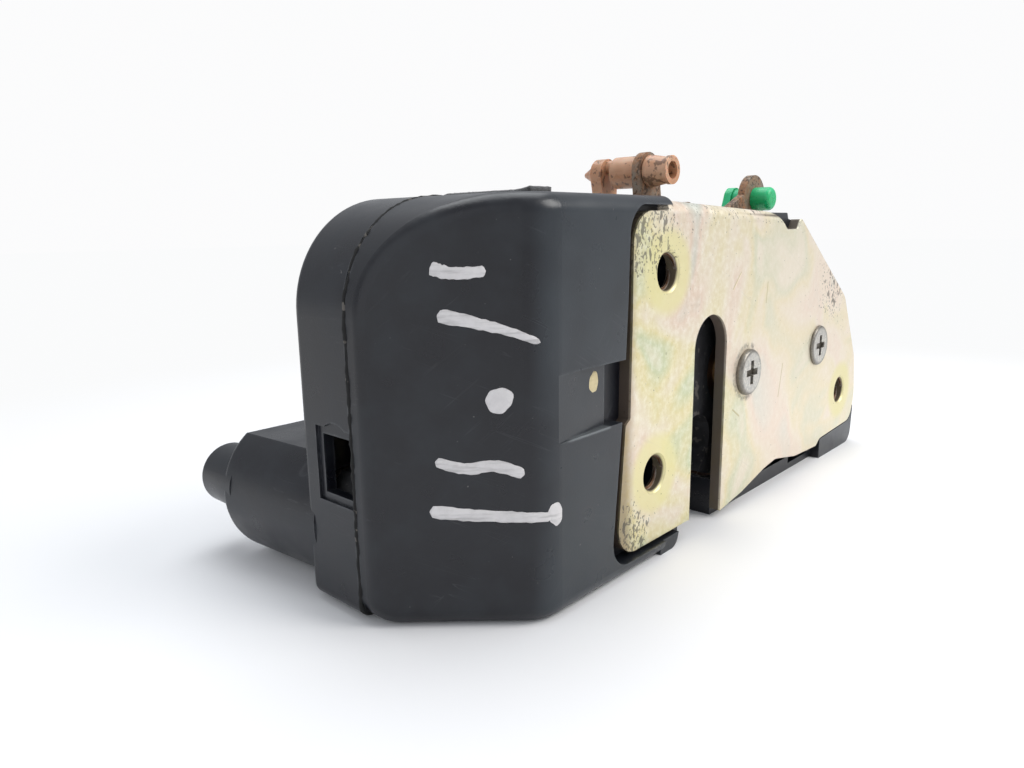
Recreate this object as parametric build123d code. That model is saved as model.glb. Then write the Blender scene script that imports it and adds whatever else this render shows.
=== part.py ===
from build123d import *
import os
from math import acos, atan2, cos, degrees, hypot, pi, radians, sin, sqrt, tan

# Vehicle door latch with its power lock actuator, in millimetres.
# X points out of the face plate, Y runs along it away from the actuator, +Z is up.
# The origin is the seat of the striker: the centre of the slot's round end, on the plate's outer face.

# Overall box of the actuator housing
FLOOR_Z = -37.8
TOP_Z = 29.0
END_Y = -71.0
FACE_X = 1.2
FACE_CORNER_Y = END_Y + 18.7
CHAMFER_X = -19.0
PARTING_X = -21.8
GASKET_T = 0.6
COVER_BACK_X = -36.1
BOX_RIGHT_Y = -17.2
WALL = 2.4
CORNER_R = 18.0
LOW_CORNER_R = 5.0
FACE_EDGE_R = 8.0
TOP_EDGE_R = 3.0
COVER_LIFT = 0.8
SMALL_EDGE_R = 1.2

# Face plate and the striker slot
PLATE_T = 2.5
SLOT_W = 13.2
SLOT_MOUTH_Z = FLOOR_Z
STRIKER_R = 4.75
MOUNT_HOLE_R = 3.35
MOUNT_SINK = 0.55
LEFT_HOLE_Y = -20.0
RIGHT_HOLE_Y = 74.4
LOW_HOLES_Z = -21.0
TOP_HOLE = (-17.0, 15.8)
FLANGE_REACH = 8.6
FLANGE_BEND_R = 2.6
PLATE_GAP = 1.4

# Layers behind the plate, front to back
FORK_T = 4.5
FORK_X = -5.9
FORK_FLOOR_GAP = 0.5
CASE_FLOOR_T = 2.2
BACK_PLATE_T = 1.8
LEVER_GAP = 0.4
LEVER_T = 1.8
LINK_T = 1.5
SECTOR_T = 4.0
CHANNEL_DEPTH = 20.0
HUMP_WALL = 2.2

# Latch mechanism, pivots as (y, z)
FORK_PIVOT = (16.3, -7.3)
PAWL_PIVOT = (56.3, -6.4)
LEVER_PIVOT = (21.5, 17.0)
FORK_R = 24.0
FORK_OPEN_DEG = 75.0
FORK_HALF_CATCH_DEG = 40.0
NOTCH_DEPTH = 3.6
THROAT_LINER = 1.0
COAT_T = 0.6
PAWL_TOOTH_H = 5.5
PAWL_REST_LIFT_DEG = 7.0
PAWL_HUB_R = 8.5
PIVOT_SCREW_R = 3.0
PIVOT_HEAD_R = 5.0
PIVOT_HEAD_T = 1.3
FORK_BUSH_R = 4.0
PAWL_TUBE_R = 5.0
PEG_R = 1.2
FORK_PEG_FROM_PIVOT = 12.5
PAWL_PEG_FROM_PIVOT = 10.0
SPRING_WIRE_R = 0.5
FORK_SPRING_R = 5.0
PAWL_SPRING_R = 5.7
RUN = 0.06
SIDE = 0.4

# Release lever, lock lever and their rod clips, tabs as (y, z)
RELEASE_TAB = (0.1, 34.7)
RELEASE_TAB_R = 3.8
RELEASE_KNEE = (2.6, 18.6)
RELEASE_KNEE_R = 4.0
LOCK_TAB = (53.6, 30.2)
LOCK_TAB_R = 6.0
LOCK_ARM_R = 3.2
LIFT_PIN_FROM_LEVER = 14.0
LIFT_PIN_R = 2.0
LOST_MOTION = 3.4
LEVER_HUB_R = 6.5
STUD_R = 3.0
CLIP_BODY_R = 2.6
ROD_BORE_R = 1.75
CLIP_RIM_R = 2.8
CLIP_COLLAR_R = 3.2
CLIP_COLLAR_T = 0.9
CLIP_NECK_R = 1.4

# Lock drive: motor, gears, sector and link
MOTOR_AXIS = (END_Y + 12.7, -24.8)
MOTOR_R = 11.5
MOTOR_FLAT = 9.0
MOTOR_FRONT_X = -26.5
MOTOR_BELL_T = 6.5
MOTOR_BACK_X = -57.0
MOTOR_CLEAR = 0.3
SHAFT_R = 1.0
PINION_TEETH = 12
WHEEL_TEETH = 40
WHEEL_MODULE = 0.7
SECTOR_PINION_TEETH = 12
SECTOR_TEETH = 45
SECTOR_MODULE = 0.8
WHEEL_DIR_DEG = 60.0
SECTOR_DIR_DEG = 50.0
PRESSURE_DEG = 25.0
ADDENDUM = 0.8
DEDENDUM = 1.1
BACKLASH = 0.16
WHEEL_FRONT_X = -17.2
WHEEL_T = 3.6
CRANK = 9.0
CRANK_DEG = 100.0
LOCK_TURN_DEG = 22.0
AXLE_R = 1.5
LINK_PIN_R = 1.6
LINK_HALF_W = 2.5

# Pod over the motor and the spigot beside it
POD_R = 14.0
POD_FLAT = 11.2
POD_END_X = -61.5
POD_LEAN = 2.1
POD_END_WALL = 2.0
SPIGOT = (END_Y + 3.8, -23.4)
SPIGOT_R = 6.0
SPIGOT_REACH = 8.5
SPIGOT_END_X = POD_END_X - SPIGOT_REACH

# Connector shroud on the back of the cover
PLUG_CENTRE = (END_Y + 22.0, 12.0)
PLUG_W = 18.0
PLUG_H = 12.0
PLUG_WALL = 1.8
PLUG_END_X = -50.5
BLADE_PITCH = 7.2
BLADE_W = 2.8
BLADE_T = 0.8
BLADE_END_X = -45.0
STRIP_X = -30.4

COVER_SCREWS = ((END_Y + 10.5, 19.0), (-41.0, -30.5), (-22.8, -30.5), (-22.8, 2.0))
COVER_SCREW_R = 1.5
COVER_HEAD_R = 3.0
BOSS_R = 3.4
FRAME_SCREWS = ((45.0, 17.5), (76.5, -29.0))
SCREW_GRIP = 6.0

# Places that follow from the sizes above
CASE_FLOOR_X = FORK_X - FORK_T - FORK_FLOOR_GAP
BACK_PLATE_X = CASE_FLOOR_X - CASE_FLOOR_T
BACK_PLATE_REAR_X = BACK_PLATE_X - BACK_PLATE_T
RELEASE_X = BACK_PLATE_REAR_X - LEVER_GAP
LOCK_X = RELEASE_X - LEVER_T - LEVER_GAP
LINK_X = LOCK_X - LEVER_T - LEVER_GAP
SECTOR_X = LINK_X - LINK_T - LEVER_GAP
SECTOR_BACK_X = SECTOR_X - SECTOR_T
COVER_FRONT_X = PARTING_X - GASKET_T


def along(start, length, degrees_from_y):
    a = radians(degrees_from_y)
    return (start[0] + length * cos(a), start[1] + length * sin(a))


def direction(a, b):
    return degrees(atan2(b[1] - a[1], b[0] - a[0]))


def gap(a, b):
    return hypot(b[0] - a[0], b[1] - a[1])


WHEEL_CENTRES = WHEEL_MODULE * (PINION_TEETH + WHEEL_TEETH) / 2
SECTOR_CENTRES = SECTOR_MODULE * (SECTOR_PINION_TEETH + SECTOR_TEETH) / 2
WHEEL_AXIS = along(MOTOR_AXIS, WHEEL_CENTRES, WHEEL_DIR_DEG)
SECTOR_AXIS = along(WHEEL_AXIS, SECTOR_CENTRES, SECTOR_DIR_DEG)
SECTOR_PIN = along(SECTOR_AXIS, CRANK, CRANK_DEG)
LOCK_PIN = along(LEVER_PIVOT, CRANK, CRANK_DEG)
LIFT_PIN = along(LEVER_PIVOT, LIFT_PIN_FROM_LEVER, direction(LEVER_PIVOT, PAWL_PIVOT))
FORK_PEG = along(FORK_PIVOT, FORK_PEG_FROM_PIVOT, 20.0)
PAWL_PEG = along(PAWL_PIVOT, PAWL_PEG_FROM_PIVOT, 67.0)


# Shapes in the plane of the plate, and solids made from them
def disc(centre, radius):
    return Pos(centre[0], centre[1]) * Circle(radius)


def polygon(points):
    turns = sum(a[0] * b[1] - b[0] * a[1] for a, b in zip(points, points[1:] + points[:1]))
    if turns < 0:
        points = points[::-1]
    return make_face(Polyline(*points, close=True))


def rounded(corners):
    """Face through corners (y, z, radius), each turned on an arc of its radius."""
    edges = []
    count = len(corners)
    last = None
    first = None
    for i in range(count):
        y, z, radius = corners[i]
        before = corners[i - 1]
        after = corners[(i + 1) % count]
        a = Vector(before[0] - y, before[1] - z).normalized()
        b = Vector(after[0] - y, after[1] - z).normalized()
        corner = Vector(y, z)
        if radius <= 0:
            begin = corner
            end = corner
        else:
            half = radians(a.get_angle(b)) / 2
            begin = corner + a * (radius / tan(half))
            end = corner + b * (radius / tan(half))
            centre = corner + (a + b).normalized() * (radius / sin(half))
            middle = centre + (corner - centre).normalized() * radius
        if last is not None:
            edges.append(Line(last, begin))
        else:
            first = begin
        if radius > 0:
            edges.append(ThreePointArc(begin, middle, end))
        last = end
    edges.append(Line(last, first))
    face = make_face(edges)
    if face.faces()[0].normal_at().Z < 0:
        face = -face
    return face


def tapered(a, a_radius, b, b_radius):
    heading = atan2(b[1] - a[1], b[0] - a[0])
    spread = acos((a_radius - b_radius) / gap(a, b))
    corners = []
    for centre, radius, side in ((a, a_radius, 1), (b, b_radius, 1), (b, b_radius, -1), (a, a_radius, -1)):
        angle = heading + side * spread
        corners.append((centre[0] + radius * cos(angle), centre[1] + radius * sin(angle)))
    return polygon(corners) + disc(a, a_radius) + disc(b, b_radius)


def turned(shape, centre, turn_deg):
    return Pos(centre[0], centre[1]) * Rot(0, 0, turn_deg) * Pos(-centre[0], -centre[1]) * shape


def slab(shape, front_x, depth):
    """Solid of a flat shape, from front_x back by depth."""
    plane = Plane(origin=(front_x - depth, 0, 0), x_dir=(0, 1, 0), z_dir=(1, 0, 0))
    return extrude(plane * shape, amount=depth)


def rod(centre, radius, front_x, depth):
    return slab(disc(centre, radius), front_x, depth)


def block(x, y, z):
    """Box between the pairs of limits x, y and z."""
    size = (x[1] - x[0], y[1] - y[0], z[1] - z[0])
    return Pos(x[0], y[0], z[0]) * Box(*size, align=(Align.MIN, Align.MIN, Align.MIN))


def box2(y, z):
    return polygon([(y[0], z[0]), (y[1], z[0]), (y[1], z[1]), (y[0], z[1])])


def hexagon(centre, across_flats):
    return Pos(centre[0], centre[1]) * RegularPolygon(across_flats / 2, 6, major_radius=False)


# Outlines that several pieces share
def slot_shape(half_width, mouth_z=SLOT_MOUTH_Z - 1.0):
    return disc((0, 0), half_width) + box2((-half_width, half_width), (mouth_z, 0))


PLATE_TOP_LEFT = 28.4
PLATE_TOP_RIGHT = 26.6
FLANGE_LEFT_Y = -16.6
FLANGE_RIGHT_Y = 28.0


def plate_shape():
    return rounded(
        [
            (-31.9, -34.2, 5.5),
            (-29.8, -9.9, 0.5),
            (-28.4, -9.0, 0.5),
            (-28.2, 8.0, 0.0),
            (-28.3, 26.4, 5.5),
            (FLANGE_LEFT_Y - 0.8, 26.4, 0.4),
            (FLANGE_LEFT_Y, PLATE_TOP_LEFT, 0.4),
            (FLANGE_RIGHT_Y, PLATE_TOP_RIGHT, 8.0),
            (33.6, 22.7, 1.0),
            (39.6, 22.7, 0.8),
            (41.2, 25.2, 0.8),
            (73.8, 4.6, 6.0),
            (84.6, -13.0, 6.0),
            (86.9, -25.0, 8.0),
            (84.4, -31.2, 4.0),
            (62.2, -32.2, 2.0),
            (60.0, -33.8, 2.0),
            (46.2, -33.3, 12.0),
            (34.2, -31.2, 5.0),
            (28.0, -32.0, 6.0),
            (16.6, -34.7, 10.0),
            (5.0, -36.4, 0.0),
            (-7.2, -34.2, 0.0),
        ]
    )


def case_shape():
    return rounded(
        [
            (BOX_RIGHT_Y - 1.0, FLOOR_Z, 0.0),
            (85.8, FLOOR_Z, 4.0),
            (86.4, -26.7, 7.0),
            (83.5, -12.2, 5.0),
            (73.3, 3.7, 6.0),
            (45.8, 24.2, 1.0),
            (39.6, 25.0, 0.5),
            (39.0, 26.4, 0.6),
            (29.0, 26.4, 0.6),
            (28.8, 23.4, 0.0),
            (BOX_RIGHT_Y - 1.0, 25.2, 0.0),
        ]
    )


def chamber_shape():
    room = rounded(
        [
            (12.0, -34.4, 0.0),
            (50.0, -34.4, 6.0),
            (69.0, -20.0, 6.0),
            (69.0, 0.0, 6.0),
            (56.0, 12.5, 6.0),
            (12.0, 17.0, 0.0),
        ]
    )
    return room + disc(FORK_PIVOT, FORK_R + SIDE) + slot_shape(SLOT_W / 2 + 0.2)


# Front housing: the actuator's front shell and the latch case, one moulding
def chamfer_y(x, inset=0.0):
    """Y of the slanted face at x, moved inwards by inset."""
    run = FACE_X - CHAMFER_X
    rise = FACE_CORNER_Y - END_Y
    return END_Y + (x - CHAMFER_X) * rise / run + inset * hypot(run, rise) / run


def box_outer():
    outline = polygon(
        [
            (PARTING_X, END_Y),
            (CHAMFER_X, END_Y),
            (FACE_X, FACE_CORNER_Y),
            (FACE_X, BOX_RIGHT_Y),
            (PARTING_X, BOX_RIGHT_Y),
        ]
    )
    body = extrude(Pos(0, 0, FLOOR_Z) * outline, amount=TOP_Z - FLOOR_Z)
    end = rounded(
        [
            (END_Y, FLOOR_Z, LOW_CORNER_R),
            (BOX_RIGHT_Y, FLOOR_Z, 0.0),
            (BOX_RIGHT_Y, TOP_Z, 0.0),
            (END_Y, TOP_Z, CORNER_R),
        ]
    )
    body = body & slab(end, FACE_X, FACE_X - PARTING_X)
    upright = body.edges().filter_by(Axis.Z).filter_by_position(Axis.X, FACE_X - 0.01, FACE_X + 0.01)
    body = fillet(upright.sort_by(Axis.Y)[0], FACE_EDGE_R)
    rim = [edge for edge in body.edges() if edge_is_front(edge)]
    return fillet(rim, TOP_EDGE_R)


def edge_is_front(edge):
    """True for the edges round the slanted face and the front face, except at the box's right end."""
    middle = edge @ 0.5
    if middle.X < PARTING_X + 0.3 or middle.Y > BOX_RIGHT_Y - 0.1:
        return False
    upright = abs((edge % 0.5).Z) > 0.999
    if upright:
        return middle.Y < END_Y + 0.1 and middle.X > CHAMFER_X - 0.1
    return middle.Y < chamfer_y(middle.X) + 0.3 or middle.X > FACE_X - FACE_EDGE_R / 2


def box_inner():
    front_x = FACE_X - WALL - 0.8
    step_y = -38.0
    back = PARTING_X - 0.1
    under_plate_x = -PLATE_T - WALL
    outline = polygon(
        [
            (back, END_Y + WALL),
            (CHAMFER_X - 0.95, END_Y + WALL),
            (front_x, chamfer_y(front_x, WALL)),
            (front_x, step_y),
            (under_plate_x, step_y),
            (under_plate_x, BOX_RIGHT_Y - WALL),
            (back, BOX_RIGHT_Y - WALL),
        ]
    )
    height = TOP_Z - FLOOR_Z - 2 * WALL
    body = extrude(Pos(0, 0, FLOOR_Z + WALL) * outline, amount=height)
    end = rounded(
        [
            (END_Y + WALL, FLOOR_Z + WALL, LOW_CORNER_R - WALL),
            (BOX_RIGHT_Y, FLOOR_Z + WALL, 0.0),
            (BOX_RIGHT_Y, TOP_Z - WALL, 0.0),
            (END_Y + WALL, TOP_Z - WALL, CORNER_R - WALL),
        ]
    )
    return body & slab(end, FACE_X, FACE_X - PARTING_X + 1.0)


def front_housing():
    body = box_outer() - box_inner()
    body += slab(case_shape(), -PLATE_T, BACK_PLATE_X * -1 - PLATE_T)
    lip = rounded([(62.4, FLOOR_Z, 0), (85.8, FLOOR_Z, 4), (86.5, -27.5, 1), (84.0, -26.0, 0), (62.4, -31.0, 0)])
    body += slab(lip - offset(plate_shape(), 0.3), 0, PLATE_T)
    sill = rounded([(-18.0, FLOOR_Z, 0), (-12.2, FLOOR_Z, 2.5), (-11.4, -35.0, 0), (-18.0, -35.0, 0)])
    body += slab(sill, 0.5, PLATE_T + 0.5)
    hump = slot_shape(SLOT_W / 2 + HUMP_WALL, FLOOR_Z)
    body += slab(hump, -PLATE_T, CHANNEL_DEPTH - PLATE_T + HUMP_WALL)
    recess = rounded(
        [
            (-33.9 - PLATE_GAP, -35.0, 5.0),
            (-30.8 - PLATE_GAP, -4.0, 0.0),
            (-30.0 - PLATE_GAP, 12.0, 0.0),
            (-29.6 - PLATE_GAP, 27.4, 5.0),
            (FLANGE_LEFT_Y - 0.9, 27.4, 0.0),
            (FLANGE_LEFT_Y - 0.9, TOP_Z + 1, 0.0),
            (0.0, TOP_Z + 1, 0.0),
            (0.0, -35.0, 0.0),
        ]
    )
    body -= slab(recess, FACE_X + 1, FACE_X + 1 + PLATE_T)
    body -= block((-PLATE_T, FACE_X + 1), (-8.6, 5.0), (FLOOR_Z - 1, FLOOR_Z + 6))
    band_z = (-8.5, 2.1)
    notch_y = -36.2
    body -= block((-PLATE_T, FACE_X + 1), (notch_y, -28.0), band_z)
    wedge = polygon([(FACE_X + 0.5, -50.0), (FACE_X, -50.0), (FACE_X - 1.3, notch_y), (FACE_X + 0.5, notch_y)])
    body -= extrude(Pos(0, 0, band_z[0]) * wedge, amount=band_z[1] - band_z[0])
    body -= slab(chamber_shape(), -PLATE_T + 0.1, -CASE_FLOOR_X - PLATE_T + 0.1)
    body -= slab(slot_shape(SLOT_W / 2 + 0.2), -PLATE_T + 0.1, CHANNEL_DEPTH - PLATE_T + 0.1)
    body -= slab(box2((48.0, 60.0), (FLOOR_Z + 1.6, -33.4)), -PLATE_T + 0.1, 4.0)
    body += housing_posts()
    for centre in (TOP_HOLE, (LEFT_HOLE_Y, LOW_HOLES_Z)):
        body -= rod(centre, MOUNT_HOLE_R + 1.1, -PLATE_T + 0.1, 10.0)
    body -= rod((RIGHT_HOLE_Y, LOW_HOLES_Z), MOUNT_HOLE_R + 1.1, -PLATE_T + 0.1, -BACK_PLATE_X)
    body -= rod(FORK_PIVOT, PIVOT_SCREW_R + RUN, 0, 20.0)
    body -= rod(PAWL_PIVOT, PAWL_TUBE_R + SIDE, 0, 20.0)
    body -= rod(LEVER_PIVOT, STUD_R, 0, 20.0)
    for centre in COVER_SCREWS:
        body -= rod(centre, COVER_SCREW_R, PARTING_X + SCREW_GRIP + 0.3, SCREW_GRIP + 0.3)
    for centre in FRAME_SCREWS:
        body -= rod(centre, COVER_SCREW_R, BACK_PLATE_X + SCREW_GRIP + 0.3, SCREW_GRIP + 0.3)
    body -= rod(WHEEL_AXIS, AXLE_R, WHEEL_FRONT_X + 9.0, 9.0)
    body -= rod(SECTOR_AXIS, AXLE_R, SECTOR_X + 9.0, 9.0)
    body -= link_window()
    body -= rod(MOTOR_AXIS, SHAFT_R + RUN, WHEEL_FRONT_X + 3.5, 4.0)
    bumper_pocket = block((-17.2, CASE_FLOOR_X - 0.3), (-3.5, 3.5), (SLOT_W / 2, SLOT_W / 2 + 1.6))
    return body - bumper_pocket


def housing_posts():
    """Bosses inside the front shell, cut to its outer form."""
    posts = Part()
    for centre in (TOP_HOLE, (LEFT_HOLE_Y, LOW_HOLES_Z)):
        posts += rod(centre, MOUNT_HOLE_R + 2.9, -PLATE_T, 12.0)
    for centre in COVER_SCREWS:
        posts += rod(centre, BOSS_R, -PLATE_T, -PLATE_T - PARTING_X)
    posts += rod(WHEEL_AXIS, AXLE_R + 2.2, 0, -WHEEL_FRONT_X - SIDE)
    posts += rod(SECTOR_AXIS, AXLE_R + 2.2, -PLATE_T, -PLATE_T - SECTOR_X - SIDE)
    posts += rod(MOTOR_AXIS, SHAFT_R + 2.2, 0, -WHEEL_FRONT_X - SIDE)
    return posts & box_outer()


def link_window():
    """Opening in the box's right wall, in the link's layer."""
    z = (SECTOR_PIN[1] - 2.0, LOCK_PIN[1] - 0.5)
    return block((PARTING_X - 0.1, LINK_X + 0.8), (BOX_RIGHT_Y - WALL - 1, BOX_RIGHT_Y + 1), z)


# Rear cover with the motor pod, spigot, connector shroud and snap window
def cover_outline(inset=0.0):
    return rounded(
        [
            (END_Y + inset, FLOOR_Z + COVER_LIFT + inset, 2.0),
            (BOX_RIGHT_Y - inset, FLOOR_Z + COVER_LIFT + inset, 2.0),
            (BOX_RIGHT_Y - inset, TOP_Z - inset, 2.0),
            (END_Y + inset, TOP_Z - inset, max(CORNER_R - inset, 1.0)),
        ]
    )


def flatted(centre, radius, flat):
    band = box2((centre[0] - radius - 1, centre[0] + radius + 1), (centre[1] - flat, centre[1] + flat))
    return disc(centre, radius) & band


def pod_outer():
    near = (MOTOR_AXIS[0] + POD_LEAN / 2, MOTOR_AXIS[1])
    far = (MOTOR_AXIS[0] - POD_LEAN / 2, MOTOR_AXIS[1])
    start_x = COVER_BACK_X + WALL
    sections = []
    for x, centre in ((start_x, near), (POD_END_X, far)):
        plane = Plane(origin=(x, 0, 0), x_dir=(0, 1, 0), z_dir=(-1, 0, 0))
        mirrored = plane * flatted((centre[0], -centre[1]), POD_R, POD_FLAT)
        sections.append(mirrored)
    pod = loft(sections)
    rim = pod.edges().filter_by_position(Axis.X, POD_END_X - 0.01, POD_END_X + 0.01)
    return fillet(rim, 1.3)


def rear_cover():
    body = slab(cover_outline(), COVER_FRONT_X, COVER_FRONT_X - COVER_BACK_X)
    rim = body.edges().filter_by_position(Axis.X, COVER_BACK_X - 0.01, COVER_BACK_X + 0.01)
    body = fillet(rim, 1.8)
    body += pod_outer()
    spigot = rod(SPIGOT, SPIGOT_R, POD_END_X + 3.0, POD_END_X + 3.0 - SPIGOT_END_X)
    spigot_rim = spigot.edges().filter_by_position(Axis.X, SPIGOT_END_X - 0.01, SPIGOT_END_X + 0.01)
    body += fillet(spigot_rim, 0.9)
    body -= rod(SPIGOT, SPIGOT_R - 1.8, POD_END_X, POD_END_X - SPIGOT_END_X + 1.0)
    half = (PLUG_W / 2, PLUG_H / 2)
    shroud = Pos(*PLUG_CENTRE) * RectangleRounded(PLUG_W, PLUG_H, 2.5)
    body += slab(shroud, COVER_BACK_X + 1.0, COVER_BACK_X + 1.0 - PLUG_END_X)
    socket = Pos(*PLUG_CENTRE) * RectangleRounded(2 * (half[0] - PLUG_WALL), 2 * (half[1] - PLUG_WALL), 1.2)
    body -= slab(socket, COVER_BACK_X, COVER_BACK_X - PLUG_END_X + 1.0)
    for side in (-1, 1):
        slot = (PLUG_CENTRE[0] + side * BLADE_PITCH / 2, PLUG_CENTRE[1])
        body -= slab(Pos(*slot) * Rectangle(BLADE_W, BLADE_T), COVER_BACK_X + WALL + 1.0, WALL + 2.0)
    cavity = slab(cover_outline(WALL), COVER_FRONT_X + 1.0, COVER_FRONT_X + 1.0 - COVER_BACK_X - WALL)
    cavity += slab(
        flatted(MOTOR_AXIS, MOTOR_R + MOTOR_CLEAR, MOTOR_FLAT + 0.2),
        COVER_FRONT_X + 1.0,
        COVER_FRONT_X + 1.0 - POD_END_X - POD_END_WALL,
    )
    bosses = Part()
    for centre in COVER_SCREWS:
        bosses += rod(centre, BOSS_R, COVER_FRONT_X, COVER_FRONT_X - COVER_BACK_X - WALL / 2)
    for centre, start in ((WHEEL_AXIS, SECTOR_BACK_X - 0.6), (SECTOR_AXIS, SECTOR_BACK_X - SIDE)):
        bosses += rod(centre, AXLE_R + 1.5, start, start - COVER_BACK_X - WALL / 2)
    body = body - (cavity - bosses)
    for centre in COVER_SCREWS:
        body -= rod(centre, COVER_SCREW_R + 0.25, COVER_FRONT_X + 1, 30.0)
    for centre in (WHEEL_AXIS, SECTOR_AXIS):
        body -= rod(centre, AXLE_R, SECTOR_BACK_X + 1.0, -COVER_BACK_X + SECTOR_BACK_X - 0.2)
    window_x = (COVER_FRONT_X - 7.9, COVER_FRONT_X + 0.5)
    window_z = (-17.6, -7.8)
    body -= block(window_x, (END_Y - 1.0, END_Y + WALL + 0.5), window_z)
    frame_in = 1.3
    body -= block(
        (window_x[0] - frame_in, window_x[1]),
        (END_Y - 1.0, END_Y + 0.5),
        (window_z[0] - frame_in, window_z[1] + frame_in),
    )
    relief = Pos(COVER_FRONT_X - 4.2, END_Y + 0.5, window_z[1] - 2.4) * Rot(90, 0, 0) * Cylinder(
        4.6, 3.0, align=(Align.CENTER, Align.CENTER, Align.MIN)
    )
    return body - relief


def cover_gasket():
    ring = cover_outline(0.35) - cover_outline(WALL - 0.2)
    return slab(ring, PARTING_X, GASKET_T)


# Steel plates
def face_plate():
    body = slab(plate_shape() - slot_shape(SLOT_W / 2), 0, PLATE_T)
    flange = polygon(
        [
            (FLANGE_LEFT_Y + 0.3, PLATE_TOP_LEFT - PLATE_T),
            (FLANGE_RIGHT_Y - 1.0, PLATE_TOP_RIGHT - PLATE_T + 0.04),
            (FLANGE_RIGHT_Y - 1.0, PLATE_TOP_RIGHT + 0.04),
            (FLANGE_LEFT_Y + 0.3, PLATE_TOP_LEFT - 0.01),
        ]
    )
    body += slab(flange, -PLATE_T + 0.5, FLANGE_REACH - PLATE_T + 0.5)
    top_edge = Vector(0, FLANGE_RIGHT_Y - FLANGE_LEFT_Y, PLATE_TOP_RIGHT - PLATE_TOP_LEFT)
    start = Vector(0, FLANGE_LEFT_Y, PLATE_TOP_LEFT) - top_edge * 0.1
    plane = Plane(origin=start, x_dir=(1, 0, 0), z_dir=top_edge.normalized())
    r = FLANGE_BEND_R
    corner = polygon([(-r, -1.0), (1.0, -1.0), (1.0, r), (-r, r)]) - disc((-r, r), r)
    body -= extrude(plane * corner, amount=top_edge.length * 1.2)
    for centre in (TOP_HOLE, (LEFT_HOLE_Y, LOW_HOLES_Z), (RIGHT_HOLE_Y, LOW_HOLES_Z)):
        body -= rod(centre, MOUNT_HOLE_R, 1, PLATE_T + 2)
        sink = Pos(-MOUNT_SINK, centre[0], centre[1]) * Rot(0, 90, 0) * Cone(
            MOUNT_HOLE_R,
            MOUNT_HOLE_R + MOUNT_SINK,
            MOUNT_SINK,
            align=(Align.CENTER, Align.CENTER, Align.MIN),
        )
        body -= sink
    for centre in (FORK_PIVOT, PAWL_PIVOT):
        body -= rod(centre, PIVOT_SCREW_R, 1, PLATE_T + 2)
    return body


def back_plate():
    shape = rounded(
        [
            (9.6, -33.0, 2.0),
            (80.0, -33.0, 4.0),
            (82.0, -18.0, 5.0),
            (68.0, 5.5, 6.0),
            (47.0, 21.0, 4.0),
            (9.6, 24.4, 2.0),
        ]
    )
    shape -= disc(FORK_PIVOT, PIVOT_SCREW_R)
    shape -= disc(PAWL_PIVOT, PAWL_TUBE_R + RUN)
    shape -= disc(LEVER_PIVOT, STUD_R)
    shape -= disc((RIGHT_HOLE_Y, LOW_HOLES_Z), MOUNT_HOLE_R + 1.1)
    for centre in FRAME_SCREWS:
        shape -= disc(centre, COVER_SCREW_R + 0.2)
    return slab(shape, BACK_PLATE_X, BACK_PLATE_T)


# Pivots and fasteners
def cross_slot(centre, top_x, size, depth):
    bars = Pos(*centre) * (Rectangle(size, size * 0.28) + Rectangle(size * 0.28, size))
    return slab(bars, top_x + 0.1, depth + 0.1)


def pivot_screw(centre, head_t, tail_x):
    head = rod(centre, PIVOT_HEAD_R, head_t, head_t)
    rim = head.edges().filter_by_position(Axis.X, head_t - 0.01, head_t + 0.01)
    head = fillet(rim, min(1.0, head_t * 0.6))
    head -= cross_slot(centre, head_t, 5.2, 1.1)
    return head + rod(centre, PIVOT_SCREW_R, 0, -tail_x)


def fork_pivot_screw():
    return pivot_screw(FORK_PIVOT, PIVOT_HEAD_T, BACK_PLATE_REAR_X - 4.6)


def pawl_pivot_screw():
    return pivot_screw(PAWL_PIVOT, PIVOT_HEAD_T * 0.6, LINK_X - 4.6)


def pivot_nuts():
    nuts = []
    for centre, front in ((FORK_PIVOT, BACK_PLATE_REAR_X), (PAWL_PIVOT, LINK_X)):
        nuts.append(slab(hexagon(centre, 10.0) - disc(centre, PIVOT_SCREW_R), front, 4.0))
    return Compound(children=[solid for nut in nuts for solid in nut.solids()])


def fork_bush():
    ring = disc(FORK_PIVOT, FORK_BUSH_R) - disc(FORK_PIVOT, PIVOT_SCREW_R)
    return slab(ring, -PLATE_T, -PLATE_T - CASE_FLOOR_X)


def fork_washer():
    ring = disc(FORK_PIVOT, 8.0) - disc(FORK_PIVOT, FORK_BUSH_R + RUN)
    return slab(ring, FORK_X - FORK_T, FORK_FLOOR_GAP)


def lever_pivot_stud():
    stud = rod(LEVER_PIVOT, STUD_R, BACK_PLATE_X + 1.2, BACK_PLATE_X + 1.2 - LINK_X)
    head = rod(LEVER_PIVOT, 4.4, LINK_X, 1.4)
    rim = head.edges().filter_by_position(Axis.X, LINK_X - 1.41, LINK_X - 1.39)
    return stud + fillet(rim, 0.6)


def lever_washers():
    ring = disc(LEVER_PIVOT, 5.6) - disc(LEVER_PIVOT, STUD_R + RUN)
    washers = [slab(ring, x, LEVER_GAP) for x in (BACK_PLATE_REAR_X, RELEASE_X - LEVER_T)]
    washers.append(slab(ring - disc(LEVER_PIVOT, STUD_R + RUN), LOCK_X - LEVER_T, LEVER_GAP))
    return Compound(children=[solid for washer in washers for solid in washer.solids()])


def screw_group(centres, head_front_x, length):
    solids = []
    for centre in centres:
        head = rod(centre, COVER_HEAD_R, head_front_x, 1.8)
        rim = head.edges().filter_by_position(Axis.X, head_front_x - 1.81, head_front_x - 1.79)
        head = fillet(rim, 0.8)
        bars = Pos(*centre) * (Rectangle(3.4, 0.9) + Rectangle(0.9, 3.4))
        head -= slab(bars, head_front_x - 1.0, 1.0)
        screw = head + rod(centre, COVER_SCREW_R, head_front_x + length, length)
        solids.extend(screw.solids())
    return Compound(children=solids)


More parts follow.
